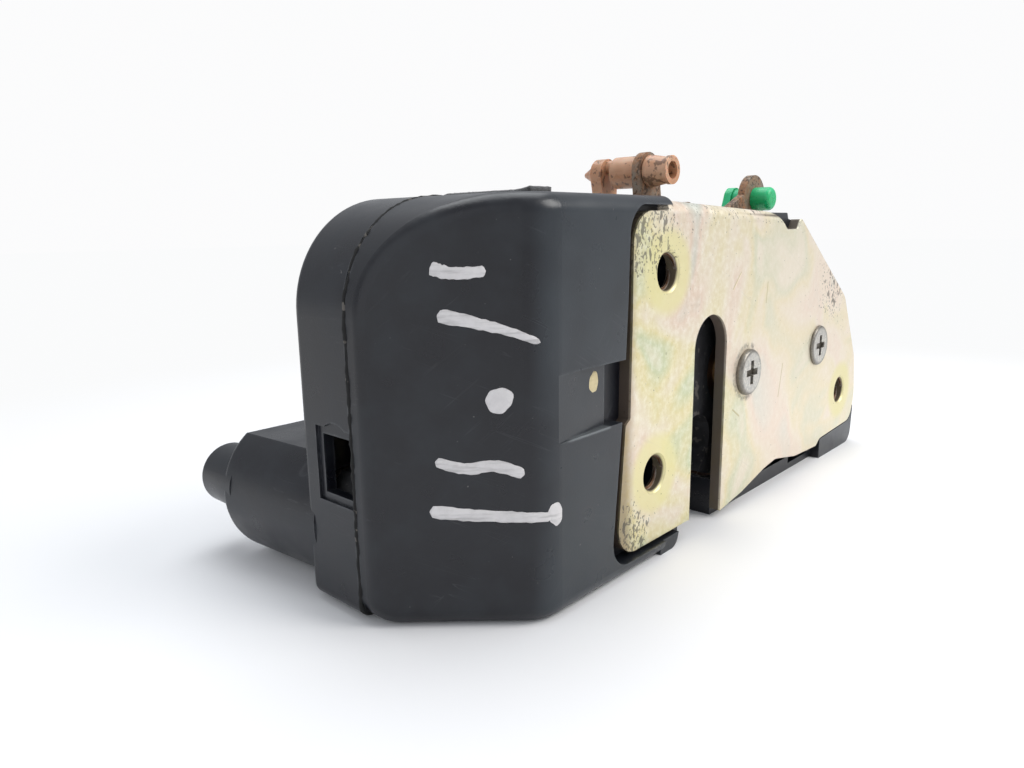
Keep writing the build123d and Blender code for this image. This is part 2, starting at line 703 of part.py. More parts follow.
def cover_screws():
    return screw_group(COVER_SCREWS, COVER_BACK_X, PARTING_X + SCREW_GRIP - COVER_BACK_X)


def frame_screws():
    return screw_group(FRAME_SCREWS, BACK_PLATE_REAR_X, BACK_PLATE_T + SCREW_GRIP)


def gear_axle():
    return rod(WHEEL_AXIS, AXLE_R, WHEEL_FRONT_X + 8.5, WHEEL_FRONT_X + 8.5 - COVER_BACK_X - WALL)


def sector_axle():
    return rod(SECTOR_AXIS, AXLE_R, SECTOR_X + 8.5, SECTOR_X + 8.5 - COVER_BACK_X - WALL)


def striker_bumper():
    x = (-17.2, CASE_FLOOR_X - 0.3)
    pad = block(x, (-5.4, 5.4), (STRIKER_R + 0.3, SLOT_W / 2))
    limit = slab(slot_shape(SLOT_W / 2 + 0.2), 0, 30)
    return (pad & limit) + block(x, (-3.5, 3.5), (SLOT_W / 2, SLOT_W / 2 + 1.6))


def felt_pad():
    strip = block((COVER_BACK_X + 1.8, -13.5), (END_Y + 32.0, END_Y + 37.6), (TOP_Z, TOP_Z + 1.4))
    return fillet(strip.edges().filter_by(Axis.Z), 0.8)


# Fork bolt, drawn in its closed position and then opened
def throat_shape(half_width):
    seat = (0.0, 0.0)
    out = along(seat, 2 * FORK_R, direction(FORK_PIVOT, seat))
    return tapered(seat, half_width, out, half_width + 0.001)


def notch_shape(face_deg):
    inner = along(FORK_PIVOT, FORK_R - NOTCH_DEPTH, face_deg)
    outer = along(FORK_PIVOT, FORK_R + 4.0, face_deg)
    reach = sqrt(FORK_R**2 - (FORK_R - NOTCH_DEPTH) ** 2) + 2.0
    ramp = along(inner, reach, face_deg + 90)
    beyond = along(ramp, NOTCH_DEPTH + 4.0, face_deg)
    return polygon([inner, ramp, beyond, outer])


def catch_face_deg():
    return direction(FORK_PIVOT, PAWL_PIVOT) - degrees(acos(FORK_R / gap(FORK_PIVOT, PAWL_PIVOT)))


def fork_outline():
    shape = disc(FORK_PIVOT, FORK_R) - throat_shape(SLOT_W / 2)
    shape -= notch_shape(catch_face_deg())
    shape -= notch_shape(catch_face_deg() - FORK_HALF_CATCH_DEG)
    cut = along(FORK_PIVOT, FORK_R + 13.0, 35.0)
    shape -= disc(cut, 21.0)
    return shape


def fork_open(shape):
    return turned(shape, FORK_PIVOT, FORK_OPEN_DEG)


def fork_bolt():
    shape = fork_outline() - disc(FORK_PIVOT, FORK_BUSH_R + RUN)
    body = slab(fork_open(shape), FORK_X, FORK_T)
    return body + rod(FORK_PEG, PEG_R, FORK_X + 2.4, 2.6)


def fork_coating():
    inset = 0.7
    throat = throat_shape(SLOT_W / 2 - THROAT_LINER)
    skin = offset(fork_outline() + throat_shape(SLOT_W / 2), -inset) & disc(FORK_PIVOT, FORK_R - inset)
    skin -= disc(FORK_PIVOT, 7.5) + throat
    skin = fork_open(skin) - disc(FORK_PEG, PEG_R + 0.3)
    liner = (throat_shape(SLOT_W / 2) - throat) & disc(FORK_PIVOT, FORK_R - inset)
    body = slab(skin, FORK_X + COAT_T, COAT_T)
    return body + slab(fork_open(liner), FORK_X + COAT_T, FORK_T + COAT_T)


# Pawl, drawn in its latched position and then lifted onto the fork's rim
def pawl_shape():
    face = catch_face_deg()
    inner = along(FORK_PIVOT, FORK_R - NOTCH_DEPTH + 0.3, face)
    outer = along(inner, PAWL_TOOTH_H, face)
    reach = sqrt(gap(FORK_PIVOT, PAWL_PIVOT) ** 2 - FORK_R**2)
    arm = polygon([inner, along(inner, reach, face + 90), along(outer, reach, face + 90), outer])
    shape = arm + disc(PAWL_PIVOT, PAWL_HUB_R)
    shape += tapered(PAWL_PIVOT, 6.0, along(PAWL_PIVOT, 10.0, 60.0), 2.6)
    return turned(shape, PAWL_PIVOT, PAWL_REST_LIFT_DEG)


def pawl():
    bore = disc(PAWL_PIVOT, PIVOT_SCREW_R + RUN)
    body = slab(pawl_shape() - bore, FORK_X, FORK_T)
    body += rod(PAWL_PEG, PEG_R, FORK_X + 2.4, 2.6)
    front_boss = disc(PAWL_PIVOT, 4.6) - bore
    body += slab(front_boss, -PLATE_T - 0.2, -PLATE_T - 0.2 - FORK_X)
    tube = disc(PAWL_PIVOT, PAWL_TUBE_R) - bore
    return body + slab(tube, FORK_X - FORK_T, FORK_X - FORK_T - LOCK_X + LEVER_T)


def pawl_lifter():
    shape = tapered(PAWL_PIVOT, 8.0, LIFT_PIN, 3.6) - disc(PAWL_PIVOT, PAWL_TUBE_R)
    return slab(shape, LOCK_X, LEVER_T) + rod(LIFT_PIN, LIFT_PIN_R, RELEASE_X - 0.1, LEVER_T + LEVER_GAP)


# Levers on the common stud
def release_lever():
    heading = direction(LEVER_PIVOT, LIFT_PIN)
    foot = along(LEVER_PIVOT, LIFT_PIN_FROM_LEVER + 4.5, heading)
    shape = tapered(LEVER_PIVOT, LEVER_HUB_R, RELEASE_KNEE, RELEASE_KNEE_R)
    shape += tapered(RELEASE_KNEE, RELEASE_KNEE_R, RELEASE_TAB, RELEASE_TAB_R)
    shape += tapered(LEVER_PIVOT, LEVER_HUB_R, foot, 6.6)
    room = LIFT_PIN_R + 0.5
    near = along(LEVER_PIVOT, LIFT_PIN_FROM_LEVER - room, heading)
    far = along(LEVER_PIVOT, LIFT_PIN_FROM_LEVER + 14.0, heading)
    shape -= turned_window(near, far, room, LOST_MOTION, heading)
    shape -= disc(LEVER_PIVOT, STUD_R + RUN)
    shape -= disc(RELEASE_TAB, CLIP_BODY_R + 0.1)
    return slab(shape, RELEASE_X, LEVER_T)


def turned_window(near, far, room, extra, heading):
    """Open slot from near to far, widened by extra on the side that pushes."""
    a = along(near, room, heading - 90)
    b = along(far, room, heading - 90)
    c = along(far, room + extra, heading + 90)
    d = along(near, room + extra, heading + 90)
    return polygon([a, b, c, d])


def lock_lever():
    shape = tapered(LEVER_PIVOT, LOCK_ARM_R + 0.001, LOCK_TAB, LOCK_ARM_R) + disc(LEVER_PIVOT, LEVER_HUB_R)
    shape += disc(LOCK_TAB, LOCK_TAB_R)
    shape += tapered(LEVER_PIVOT, LEVER_HUB_R - 1.0, LOCK_PIN, 3.2)
    shape -= disc(LEVER_PIVOT, STUD_R + RUN)
    shape -= disc(LOCK_TAB, CLIP_BODY_R + 0.1)
    return slab(shape, LOCK_X, LEVER_T) + rod(LOCK_PIN, LINK_PIN_R, LOCK_X - LEVER_T, 3.0)


def lock_link():
    shape = tapered(SECTOR_PIN, LINK_HALF_W + 0.6, LOCK_PIN, LINK_HALF_W + 0.601)
    neck_a = along(SECTOR_PIN, 8.0, direction(SECTOR_PIN, LOCK_PIN))
    neck_b = along(SECTOR_PIN, gap(SECTOR_PIN, LOCK_PIN) - 8.0, direction(SECTOR_PIN, LOCK_PIN))
    slim = tapered(neck_a, LINK_HALF_W - 0.9, neck_b, LINK_HALF_W - 0.899)
    ends = tapered(SECTOR_PIN, LINK_HALF_W + 0.6, neck_a, 1.6) + tapered(LOCK_PIN, LINK_HALF_W + 0.6, neck_b, 1.6)
    shape = (slim + ends) & shape
    for pin in (SECTOR_PIN, LOCK_PIN):
        shape -= disc(pin, LINK_PIN_R + 0.1)
    return slab(shape, LINK_X, LINK_T)


# Gears
def tooth_half_angle(radius, pitch_r, module, backlash):
    pressure = radians(PRESSURE_DEG)
    base_r = pitch_r * cos(pressure)
    here = acos(min(1.0, base_r / radius))
    half = (pi * module / 2 - backlash) / (2 * pitch_r)
    return half + (tan(pressure) - pressure) - (tan(here) - here)


def gear_shape(centre, module, teeth, tooth_deg, flank_steps=4):
    pitch_r = module * teeth / 2
    tip_r = pitch_r + ADDENDUM * module
    root_r = pitch_r - DEDENDUM * module
    start_r = max(root_r, pitch_r * cos(radians(PRESSURE_DEG)))
    radii = [start_r + (tip_r - start_r) * i / flank_steps for i in range(flank_steps + 1)]
    points = []
    for k in range(teeth):
        middle = radians(tooth_deg + 360.0 * k / teeth)
        flank = [(r, tooth_half_angle(r, pitch_r, module, BACKLASH)) for r in radii]
        if start_r > root_r + 0.01:
            flank.insert(0, (root_r, flank[0][1]))
        side = [(r, middle - half) for r, half in flank] + [(r, middle + half) for r, half in flank[::-1]]
        points += [(centre[0] + r * cos(a), centre[1] + r * sin(a)) for r, a in side]
    return polygon(points)


def sector_gear():
    mesh_deg = direction(SECTOR_AXIS, WHEEL_AXIS)
    pitch_deg = 360.0 / SECTOR_TEETH
    full = gear_shape(SECTOR_AXIS, SECTOR_MODULE, SECTOR_TEETH, mesh_deg + pitch_deg / 2)
    low = mesh_deg - LOCK_TURN_DEG - 1.5 * pitch_deg
    high = mesh_deg + 1.5 * pitch_deg
    reach = SECTOR_MODULE * SECTOR_TEETH
    steps = [low + (high - low) * i / 6 for i in range(7)]
    wedge = polygon([SECTOR_AXIS] + [along(SECTOR_AXIS, reach, a) for a in steps])
    pitch_r = SECTOR_MODULE * SECTOR_TEETH / 2
    window = wedge & (disc(SECTOR_AXIS, pitch_r - 4.0) - disc(SECTOR_AXIS, 7.5))
    spoke_mid = (low + high) / 2
    spoke = tapered(SECTOR_AXIS, 4.0, along(SECTOR_AXIS, pitch_r - 3.0, spoke_mid), 2.4)
    shape = (full & wedge) - window + spoke
    shape += disc(SECTOR_AXIS, 7.5)
    for edge_deg in (low + 4.0, high - 4.0):
        shape += tapered(SECTOR_AXIS, 3.0, along(SECTOR_AXIS, pitch_r - 3.2, edge_deg), 1.2)
    shape += tapered(SECTOR_AXIS, 5.0, SECTOR_PIN, 3.0)
    shape -= disc(SECTOR_AXIS, AXLE_R + RUN)
    return slab(shape, SECTOR_X, SECTOR_T) + rod(SECTOR_PIN, LINK_PIN_R, LINK_X + 0.2, LINK_X + 0.2 - SECTOR_X + 0.5)


def reduction_gear():
    to_motor = direction(WHEEL_AXIS, MOTOR_AXIS)
    to_sector = direction(WHEEL_AXIS, SECTOR_AXIS)
    bore = disc(WHEEL_AXIS, AXLE_R + RUN)
    wheel = gear_shape(WHEEL_AXIS, WHEEL_MODULE, WHEEL_TEETH, to_motor + 180.0 / WHEEL_TEETH)
    wheel_r = WHEEL_MODULE * WHEEL_TEETH / 2
    dish = disc(WHEEL_AXIS, wheel_r - 2.6) - disc(WHEEL_AXIS, 6.6)
    small = gear_shape(WHEEL_AXIS, SECTOR_MODULE, SECTOR_PINION_TEETH, to_sector)
    body = slab(wheel - bore, WHEEL_FRONT_X, WHEEL_T) - slab(dish, WHEEL_FRONT_X + 0.1, 1.1)
    hole_ring = [along(WHEEL_AXIS, 9.0, 30 + 60 * k) for k in range(6)]
    for centre in hole_ring:
        body -= rod(centre, 1.8, WHEEL_FRONT_X, WHEEL_T + 1)
    small_depth = WHEEL_FRONT_X - WHEEL_T - SECTOR_BACK_X + 0.2
    return body + slab(small - bore, WHEEL_FRONT_X - WHEEL_T, small_depth)


def motor_pinion():
    to_wheel = direction(MOTOR_AXIS, WHEEL_AXIS)
    shape = gear_shape(MOTOR_AXIS, WHEEL_MODULE, PINION_TEETH, to_wheel) - disc(MOTOR_AXIS, SHAFT_R)
    return slab(shape, WHEEL_FRONT_X - 0.1, WHEEL_T + 1.2)


# Motor
def motor_can():
    outer = flatted(MOTOR_AXIS, MOTOR_R, MOTOR_FLAT)
    inner = flatted(MOTOR_AXIS, MOTOR_R - 0.9, MOTOR_FLAT - 0.9)
    front = MOTOR_FRONT_X - MOTOR_BELL_T
    body = slab(outer, front, front - MOTOR_BACK_X)
    rim = body.edges().filter_by_position(Axis.X, MOTOR_BACK_X - 0.01, MOTOR_BACK_X + 0.01)
    body = fillet(rim, 1.0)
    body -= slab(inner, front + 0.1, front - MOTOR_BACK_X - 0.9)
    body += rod(MOTOR_AXIS, 3.4, MOTOR_BACK_X, 1.6)
    return body - rod(MOTOR_AXIS, 2.6, MOTOR_BACK_X + 3, 4.1)


def motor_end_bell():
    outer = flatted(MOTOR_AXIS, MOTOR_R, MOTOR_FLAT)
    body = slab(outer, MOTOR_FRONT_X, MOTOR_BELL_T)
    body -= slab(flatted(MOTOR_AXIS, MOTOR_R - 1.6, MOTOR_FLAT - 1.6), MOTOR_FRONT_X - 1.8, MOTOR_BELL_T)
    body += rod(MOTOR_AXIS, 3.6, MOTOR_FRONT_X + 1.2, 3.0)
    return body - rod(MOTOR_AXIS, 2.2, MOTOR_FRONT_X + 3, 12.0)


def motor_bushes():
    front = slab(disc(MOTOR_AXIS, 2.2) - disc(MOTOR_AXIS, SHAFT_R + RUN), MOTOR_FRONT_X + 1.2, 3.0)
    rear = slab(disc(MOTOR_AXIS, 2.6) - disc(MOTOR_AXIS, SHAFT_R + RUN), MOTOR_BACK_X + 0.9, 2.0)
    return Compound(children=[*front.solids(), *rear.solids()])


def motor_magnets():
    magnets = []
    inner_r = MOTOR_R - 0.9
    for side in (1, -1):
        ring = disc(MOTOR_AXIS, inner_r) - disc(MOTOR_AXIS, inner_r - 2.2)
        corners = [MOTOR_AXIS] + [along(MOTOR_AXIS, 30, 90 - side * 90 + a) for a in (-40, -20, 0, 20, 40)]
        arc = ring & polygon(corners)
        magnets.append(slab(arc, MOTOR_FRONT_X - MOTOR_BELL_T - 2.0, 20.0))
    return Compound(children=[solid for magnet in magnets for solid in magnet.solids()])


def motor_shaft():
    start = WHEEL_FRONT_X + 2.6
    return rod(MOTOR_AXIS, SHAFT_R, start, start - MOTOR_BACK_X + 1.0)


def armature():
    core_front = MOTOR_FRONT_X - MOTOR_BELL_T - 2.5
    slots = disc(MOTOR_AXIS, 7.6)
    for k in range(5):
        mouth = along(MOTOR_AXIS, 6.0, 72 * k)
        gate = box2((mouth[0], mouth[0] + 4), (mouth[1] - 0.5, mouth[1] + 0.5))
        slots -= disc(mouth, 1.5) + turned(gate, mouth, 72 * k)
    slots -= disc(MOTOR_AXIS, SHAFT_R)
    return slab(slots, core_front, 18.0)


def armature_winding():
    ring = disc(MOTOR_AXIS, 6.8) - disc(MOTOR_AXIS, SHAFT_R)
    ends = []
    core_front = MOTOR_FRONT_X - MOTOR_BELL_T - 2.5
    for front in (core_front + 2.0, core_front - 18.0):
        ends.append(slab(ring, front, 2.0))
    return Compound(children=[solid for end in ends for solid in end.solids()])


def commutator():
    front = MOTOR_FRONT_X - MOTOR_BELL_T + 3.4
    return slab(disc(MOTOR_AXIS, 2.6) - disc(MOTOR_AXIS, SHAFT_R), front, 3.8)


def contact_strips():
    """Two brass strips: a connector blade outside, and a path inside to the motor's end bell."""
    solids = []
    bell_top = MOTOR_AXIS[1] + MOTOR_FLAT
    back = STRIP_X - BLADE_T
    for side, turn_z, foot_y in ((-1, 3.0, -61.5), (1, -1.0, -54.2)):
        top = (PLUG_CENTRE[0] + side * BLADE_PITCH / 2, PLUG_CENTRE[1])
        half = 1.3
        path = box2((top[0] - half, top[0] + half), (turn_z - half, top[1] + BLADE_T / 2))
        path += box2((foot_y - half, top[0] + half), (turn_z - half, turn_z + half))
        path += box2((foot_y - half, foot_y + half), (bell_top, turn_z + half))
        strip = slab(path, STRIP_X, BLADE_T)
        blade = Pos(*top) * Rectangle(BLADE_W, BLADE_T)
        strip += slab(blade, back + 0.1, back + 0.1 - BLADE_END_X)
        solids.extend(strip.solids())
    return Compound(children=solids)


# Rod clips: barrel along X through the lever's tab, a collar behind it and a swing strap
def clip_collar(tab, front_x):
    collar = rod(tab, CLIP_COLLAR_R, front_x, CLIP_COLLAR_T)
    return fillet(collar.edges().filter_by(GeomType.CIRCLE), 0.25)


def strap(tab, front_x, width, length, turn_deg):
    shape = tapered(tab, CLIP_BODY_R + 0.5, along(tab, length, turn_deg), 1.9)
    body = slab(shape, front_x, width)
    hole = along(tab, length - 3.4, turn_deg)
    return body - rod(hole, ROD_BORE_R * 0.8, front_x + 1, width + 2)


def release_rod_clip():
    """Open barrel with a rim, a full body behind the lever, a thin neck, the strap and a nose."""
    rim_x = -9.9
    body_x = -23.0
    strap_x = -25.3
    strap_w = 2.6
    body = rod(RELEASE_TAB, CLIP_BODY_R, rim_x, rim_x - body_x)
    body += rod(RELEASE_TAB, CLIP_RIM_R, rim_x, 0.9)
    body += clip_collar(RELEASE_TAB, RELEASE_X + 0.1 + CLIP_COLLAR_T)
    swell = Pos(RELEASE_X + 1.0, *RELEASE_TAB) * Rot(0, 90, 0) * Cone(
        CLIP_COLLAR_R - 0.05, CLIP_BODY_R, 3.0, align=(Align.CENTER, Align.CENTER, Align.MIN)
    )
    body += swell
    behind = RELEASE_X - LEVER_T - 0.1
    body += rod(RELEASE_TAB, CLIP_COLLAR_R, behind, behind - body_x)
    neck = (RELEASE_TAB[0], RELEASE_TAB[1] + 1.3)
    body += rod(neck, CLIP_NECK_R, body_x + 0.5, body_x + 0.5 - strap_x + 0.5)
    body += strap(RELEASE_TAB, strap_x, strap_w, 9.5, -84.0)
    body += Pos(strap_x - strap_w, *RELEASE_TAB) * Rot(0, -90, 0) * Cone(
        CLIP_BODY_R - 0.2, 0.5, 3.4, align=(Align.CENTER, Align.CENTER, Align.MIN)
    )
    return body - rod(RELEASE_TAB, ROD_BORE_R, rim_x + 1, 13.0)


def lock_rod_clip():
    """Closed, rounded head in front of the lever; the socket opens at the back."""
    head_x = -12.6
    back_x = -24.6
    head = rod(LOCK_TAB, CLIP_BODY_R + 0.3, head_x, head_x - LOCK_X - 0.1)
    front = head.edges().filter_by_position(Axis.X, head_x - 0.01, head_x + 0.01)
    body = fillet(front, 1.2) + rod(LOCK_TAB, CLIP_BODY_R, LOCK_X + 0.5, LOCK_X + 0.5 - back_x)
    body += clip_collar(LOCK_TAB, LOCK_X - LEVER_T - 0.1)
    body += strap(LOCK_TAB, -22.6, 2.0, 8.5, -120.0)
    return body - rod(LOCK_TAB, ROD_BORE_R, back_x + 9.5, 11.0)


# Torsion springs round the pivots, in front of the fork and the pawl
def torsion_spring(centre, radius, peg, turn, fixed_deg, fixed_leg, moving_leg):
    """Wire coil whose second leg bears on a peg; turn is 1 anticlockwise or -1 clockwise."""
    front_x = -PLATE_T - 0.2 - SPRING_WIRE_R
    bear = radius - PEG_R - SPRING_WIRE_R - 0.05
    end_deg = direction(centre, peg) - turn * degrees(acos(bear / gap(centre, peg)))
    sweep_deg = (turn * (end_deg - fixed_deg)) % 360 + 360
    pitch = 2 * SPRING_WIRE_R + 0.1
    steps = 24
    points = []
    for i in range(steps + 1):
        y, z = along(centre, radius, fixed_deg + turn * sweep_deg * i / steps)
        points.append(Vector(front_x - pitch * sweep_deg / 360 * i / steps, y, z))

    def heading(angle_deg):
        y, z = along((0, 0), 1.0, angle_deg + turn * 90)
        return Vector(0, y, z)

    first = heading(fixed_deg)
    last = heading(end_deg)
    path = Line(points[0] - first * fixed_leg, points[0])
    path += Spline(*points, tangents=(first, last), tangent_scalars=(1.0, 1.0))
    path += Line(points[-1], points[-1] + last * moving_leg)
    section = Plane(origin=points[0] - first * fixed_leg, z_dir=first) * Circle(SPRING_WIRE_R)
    return sweep(section, path=path)


def fork_spring():
    return torsion_spring(FORK_PIVOT, FORK_SPRING_R, FORK_PEG, 1, 180.0, 18.0, 14.0)


def pawl_spring():
    return torsion_spring(PAWL_PIVOT, PAWL_SPRING_R, PAWL_PEG, -1, -110.0, 12.0, 11.0)


PIECES = (
    front_housing,
    rear_cover,
    cover_gasket,
    face_plate,
    back_plate,
    fork_pivot_screw,
    pawl_pivot_screw,
    pivot_nuts,
    fork_bush,
    fork_washer,
    lever_pivot_stud,
    lever_washers,
    cover_screws,
    frame_screws,
    gear_axle,
    sector_axle,
    striker_bumper,
    felt_pad,
    fork_bolt,
    fork_coating,
    pawl,
    pawl_lifter,
    release_lever,
    lock_lever,
    lock_link,
    release_rod_clip,
    lock_rod_clip,
    sector_gear,
    reduction_gear,
    motor_pinion,
    motor_shaft,
    armature,
    armature_winding,
    commutator,
    motor_can,
    motor_end_bell,
    motor_bushes,
    motor_magnets,
    contact_strips,
    fork_spring,
    pawl_spring,
)

os.makedirs("parts", exist_ok=True)
for piece in PIECES:
    shape = piece()
    solids = shape.solids()
    export_step(solids[0] if len(solids) == 1 else Compound(children=list(solids)), f"parts/{piece.__name__}.step")
    print(piece.__name__, len(solids), round(sum(solid.volume for solid in solids), 2))
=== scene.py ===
import math
import random

import bmesh
import bpy
from mathutils import Matrix, Vector, noise


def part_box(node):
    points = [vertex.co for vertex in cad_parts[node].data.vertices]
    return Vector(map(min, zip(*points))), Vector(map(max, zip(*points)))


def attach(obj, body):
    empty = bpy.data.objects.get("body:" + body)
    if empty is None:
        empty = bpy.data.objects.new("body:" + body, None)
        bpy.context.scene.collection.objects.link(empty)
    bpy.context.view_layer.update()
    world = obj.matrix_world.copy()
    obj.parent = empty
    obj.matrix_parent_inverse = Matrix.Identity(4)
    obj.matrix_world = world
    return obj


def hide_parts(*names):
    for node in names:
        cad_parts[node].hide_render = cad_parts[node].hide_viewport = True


bl_info = {
    "name": "Door Latch Dresser",
    "version": (1, 0, 0),
    "blender": (4, 5, 0),
    "location": "View3D > Sidebar > Latch",
    "description": "Dresses a door latch and its lock actuator with finishes, small pieces and a stage",
    "category": "Object",
}

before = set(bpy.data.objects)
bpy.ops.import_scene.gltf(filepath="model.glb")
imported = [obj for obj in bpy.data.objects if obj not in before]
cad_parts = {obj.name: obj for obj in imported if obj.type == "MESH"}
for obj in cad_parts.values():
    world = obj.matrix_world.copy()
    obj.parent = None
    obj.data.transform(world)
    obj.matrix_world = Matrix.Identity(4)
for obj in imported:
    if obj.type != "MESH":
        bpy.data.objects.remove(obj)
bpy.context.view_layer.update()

MM = 0.001
HOUSING = "housing"
FACE_X = 1.2
CORNER_Y = -52.3
END_Y = -71.0
CHAMFER_X = -19.0
CORNER_BEND_R = 8.0
PARTING_X = -21.8
TOP_CORNER_R = 18.0
BOX_RIGHT_Y = -17.2
TOP_Z = 29.0
FLOOR_Z = -37.8
COVER_LIFT = 0.8
BAND_FOOT_Z = -8.6
FORK_PIVOT = (16.3, -7.3)
PAWL_PIVOT = (56.3, -6.4)
HEAD_RIM_R = 5.2
HEAD_DARK_RING_R = 5.8
FIXING_HOLES = ((-17.0, 15.8), (-20.0, -21.0), (74.4, -21.0))
THREAD_RADII = (3.0, 3.37)
THREAD_FRONT_X = -0.85
THREAD_DEPTH = 1.3


# Settings that a user would change
def colour(name, text, rgb):
    return bpy.props.FloatVectorProperty(
        name=name, description=text, subtype="COLOR", size=3, min=0.0, max=1.0, default=rgb
    )


def length(name, text, metres):
    return bpy.props.FloatProperty(
        name=name, description=text, default=metres, min=0.0, unit="LENGTH", precision=5
    )


def share(name, text, value):
    return bpy.props.FloatProperty(
        name=name, description=text, default=value, min=0.0, max=1.0, subtype="FACTOR"
    )


class LatchPlasticSettings(bpy.types.PropertyGroup):
    housing: colour("Housing", "Black moulded plastic of the two housing halves", (0.0065, 0.0070, 0.0105))
    # The bloom colour serves both the weathered haze and the painted sheen on the housing's front face.
    bloom: colour("Bloom", "Paler, bluish tone where the plastic has weathered", (0.034, 0.042, 0.050))
    tan_clip: colour("Tan clip", "Nylon of the release rod's clip", (0.50, 0.255, 0.140))
    green_clip: colour("Green clip", "Nylon of the lock rod's clip", (0.010, 0.42, 0.14))
    gear: colour("Gears", "Acetal of the gears", (0.80, 0.77, 0.68))
    wear: share("Wear", "How far the plastic's edges have turned pale", 0.34)


class LatchMetalSettings(bpy.types.PropertyGroup):
    zinc: colour("Zinc", "Straw tone of the passivated face plate", (0.64, 0.57, 0.34))
    corrosion: colour("Corrosion", "Dark pits in the zinc", (0.075, 0.070, 0.062))
    rust: colour("Rust", "Rust of the levers", (0.20, 0.085, 0.035))
    steel: colour("Steel", "Bare steel of screws and springs", (0.42, 0.41, 0.39))
    pits: share("Pits", "How much of the face plate is pitted", 0.5)


class LatchMarkSettings(bpy.types.PropertyGroup):
    paint: colour("Paint", "White paint of the brush marks", (0.62, 0.60, 0.60))
    thickness: length("Thickness", "How thick the brush marks stand on the shell", 0.00012)
    thread_pitch: length("Thread pitch", "Pitch of the thread in the fixing holes", 0.00125)
    felt_lift: length("Felt lift", "How far the felt's front end has come loose", 0.0006)


class LatchStageSettings(bpy.types.PropertyGroup):
    key: bpy.props.FloatProperty(
        name="Key light", description="Power of the main lamp in watts", default=2.6, min=0.0
    )
    sky: bpy.props.FloatProperty(name="Sky", description="Strength of the even light", default=0.62, min=0.0)
    floor: colour("Floor", "Pale floor", (0.86, 0.86, 0.87))


# Building blocks for shader trees
def add(tree, kind, props=None, values=None, links=None):
    made = tree.nodes.new("ShaderNode" + kind)
    for key, value in (props or {}).items():
        setattr(made, key, value)
    for key, value in (values or {}).items():
        made.inputs[key].default_value = value
    for key, socket in (links or {}).items():
        tree.links.new(socket, made.inputs[key])
    return made


def place(target, key, value):
    """Sets a socket from a number, a colour or another socket."""
    if isinstance(value, bpy.types.NodeSocket):
        target.id_data.links.new(value, target.inputs[key])
    else:
        if isinstance(value, (tuple, list)) and len(value) == 3 and target.inputs[key].type == "RGBA":
            value = (*value, 1.0)
        target.inputs[key].default_value = value


def calc(tree, operation, a, b=0.0, c=0.0, clamp=False):
    made = add(tree, "Math", {"operation": operation, "use_clamp": clamp})
    for index, value in enumerate((a, b, c)):
        place(made, index, value)
    return made.outputs[0]


def mul(tree, a, b, clamp=False):
    return calc(tree, "MULTIPLY", a, b, clamp=clamp)


def plus(tree, a, b):
    return calc(tree, "ADD", a, b)


def minus(tree, a, b):
    return calc(tree, "SUBTRACT", a, b)


def most(tree, a, b, clamp=False):
    return calc(tree, "MAXIMUM", a, b, clamp=clamp)


def off(tree, value, middle):
    """Distance of a value from a middle, either way."""
    return calc(tree, "ABSOLUTE", minus(tree, value, middle))


def vector_calc(tree, operation, a, b=(0.0, 0.0, 0.0)):
    made = add(tree, "VectorMath", {"operation": operation})
    place(made, 0, a)
    place(made, 1, b)
    return made.outputs["Value"] if operation in {"DISTANCE", "LENGTH", "DOT_PRODUCT"} else made.outputs[0]


def fade(tree, value, start, stop, low=0.0, high=1.0):
    made = add(tree, "MapRange", {"interpolation_type": "SMOOTHSTEP", "clamp": True})
    keys = ("Value", "From Min", "From Max", "To Min", "To Max")
    for key, item in zip(keys, (value, start, stop, low, high)):
        place(made, key, item)
    return made.outputs[0]


def blend(tree, factor, a, b, mode="MIX"):
    made = add(tree, "Mix", {"data_type": "RGBA", "blend_type": mode, "clamp_factor": True})
    place(made, 0, factor)
    place(made, 6, a)
    place(made, 7, b)
    return made.outputs[2]


def cloud(tree, where, scale, detail=3.0, rough=0.55, warp=0.0):
    shape = {"Scale": 1.0, "Detail": detail, "Roughness": rough, "Distortion": warp}
    made = add(tree, "TexNoise", None, shape)
    place(made, "Vector", where)
    place(made, "Scale", scale)
    return made.outputs["Factor" if "Factor" in made.outputs else "Fac"]


def stretch(tree, where, scale):
    return vector_calc(tree, "MULTIPLY", where, scale)


def spot(tree, where, x, y, z):
    """Distance from a point in the row's frame, in metres."""
    return vector_calc(tree, "DISTANCE", where, (x * MM, y * MM, z * MM))


def radial(tree, y, z, centre_y, centre_z):
    """Distance from an axis along X through a point in millimetres."""
    across = calc(tree, "POWER", minus(tree, y, centre_y * MM), 2.0)
    up = calc(tree, "POWER", minus(tree, z, centre_z * MM), 2.0)
    return calc(tree, "SQRT", plus(tree, across, up))


def group_named(name, inputs, outputs, build):
    """A shader group built once: inputs are (kind, name, default), outputs are (kind, name)."""
    found = bpy.data.node_groups.get(name)
    if found:
        return found
    tree = bpy.data.node_groups.new(name, "ShaderNodeTree")
    for kind, label, default in inputs:
        socket = tree.interface.new_socket(label, in_out="INPUT", socket_type="NodeSocket" + kind)
        if default is not None:
            socket.default_value = default
    for kind, label in outputs:
        tree.interface.new_socket(label, in_out="OUTPUT", socket_type="NodeSocket" + kind)
    entry = tree.nodes.new("NodeGroupInput")
    leave = tree.nodes.new("NodeGroupOutput")
    for label, socket in build(tree, entry.outputs).items():
        tree.links.new(socket, leave.inputs[label])
    return tree


def use(tree, group, **values):
    made = tree.nodes.new("ShaderNodeGroup")
    made.node_tree = group
    for key, value in values.items():
        place(made, key.replace("_", " "), value)
    return made.outputs


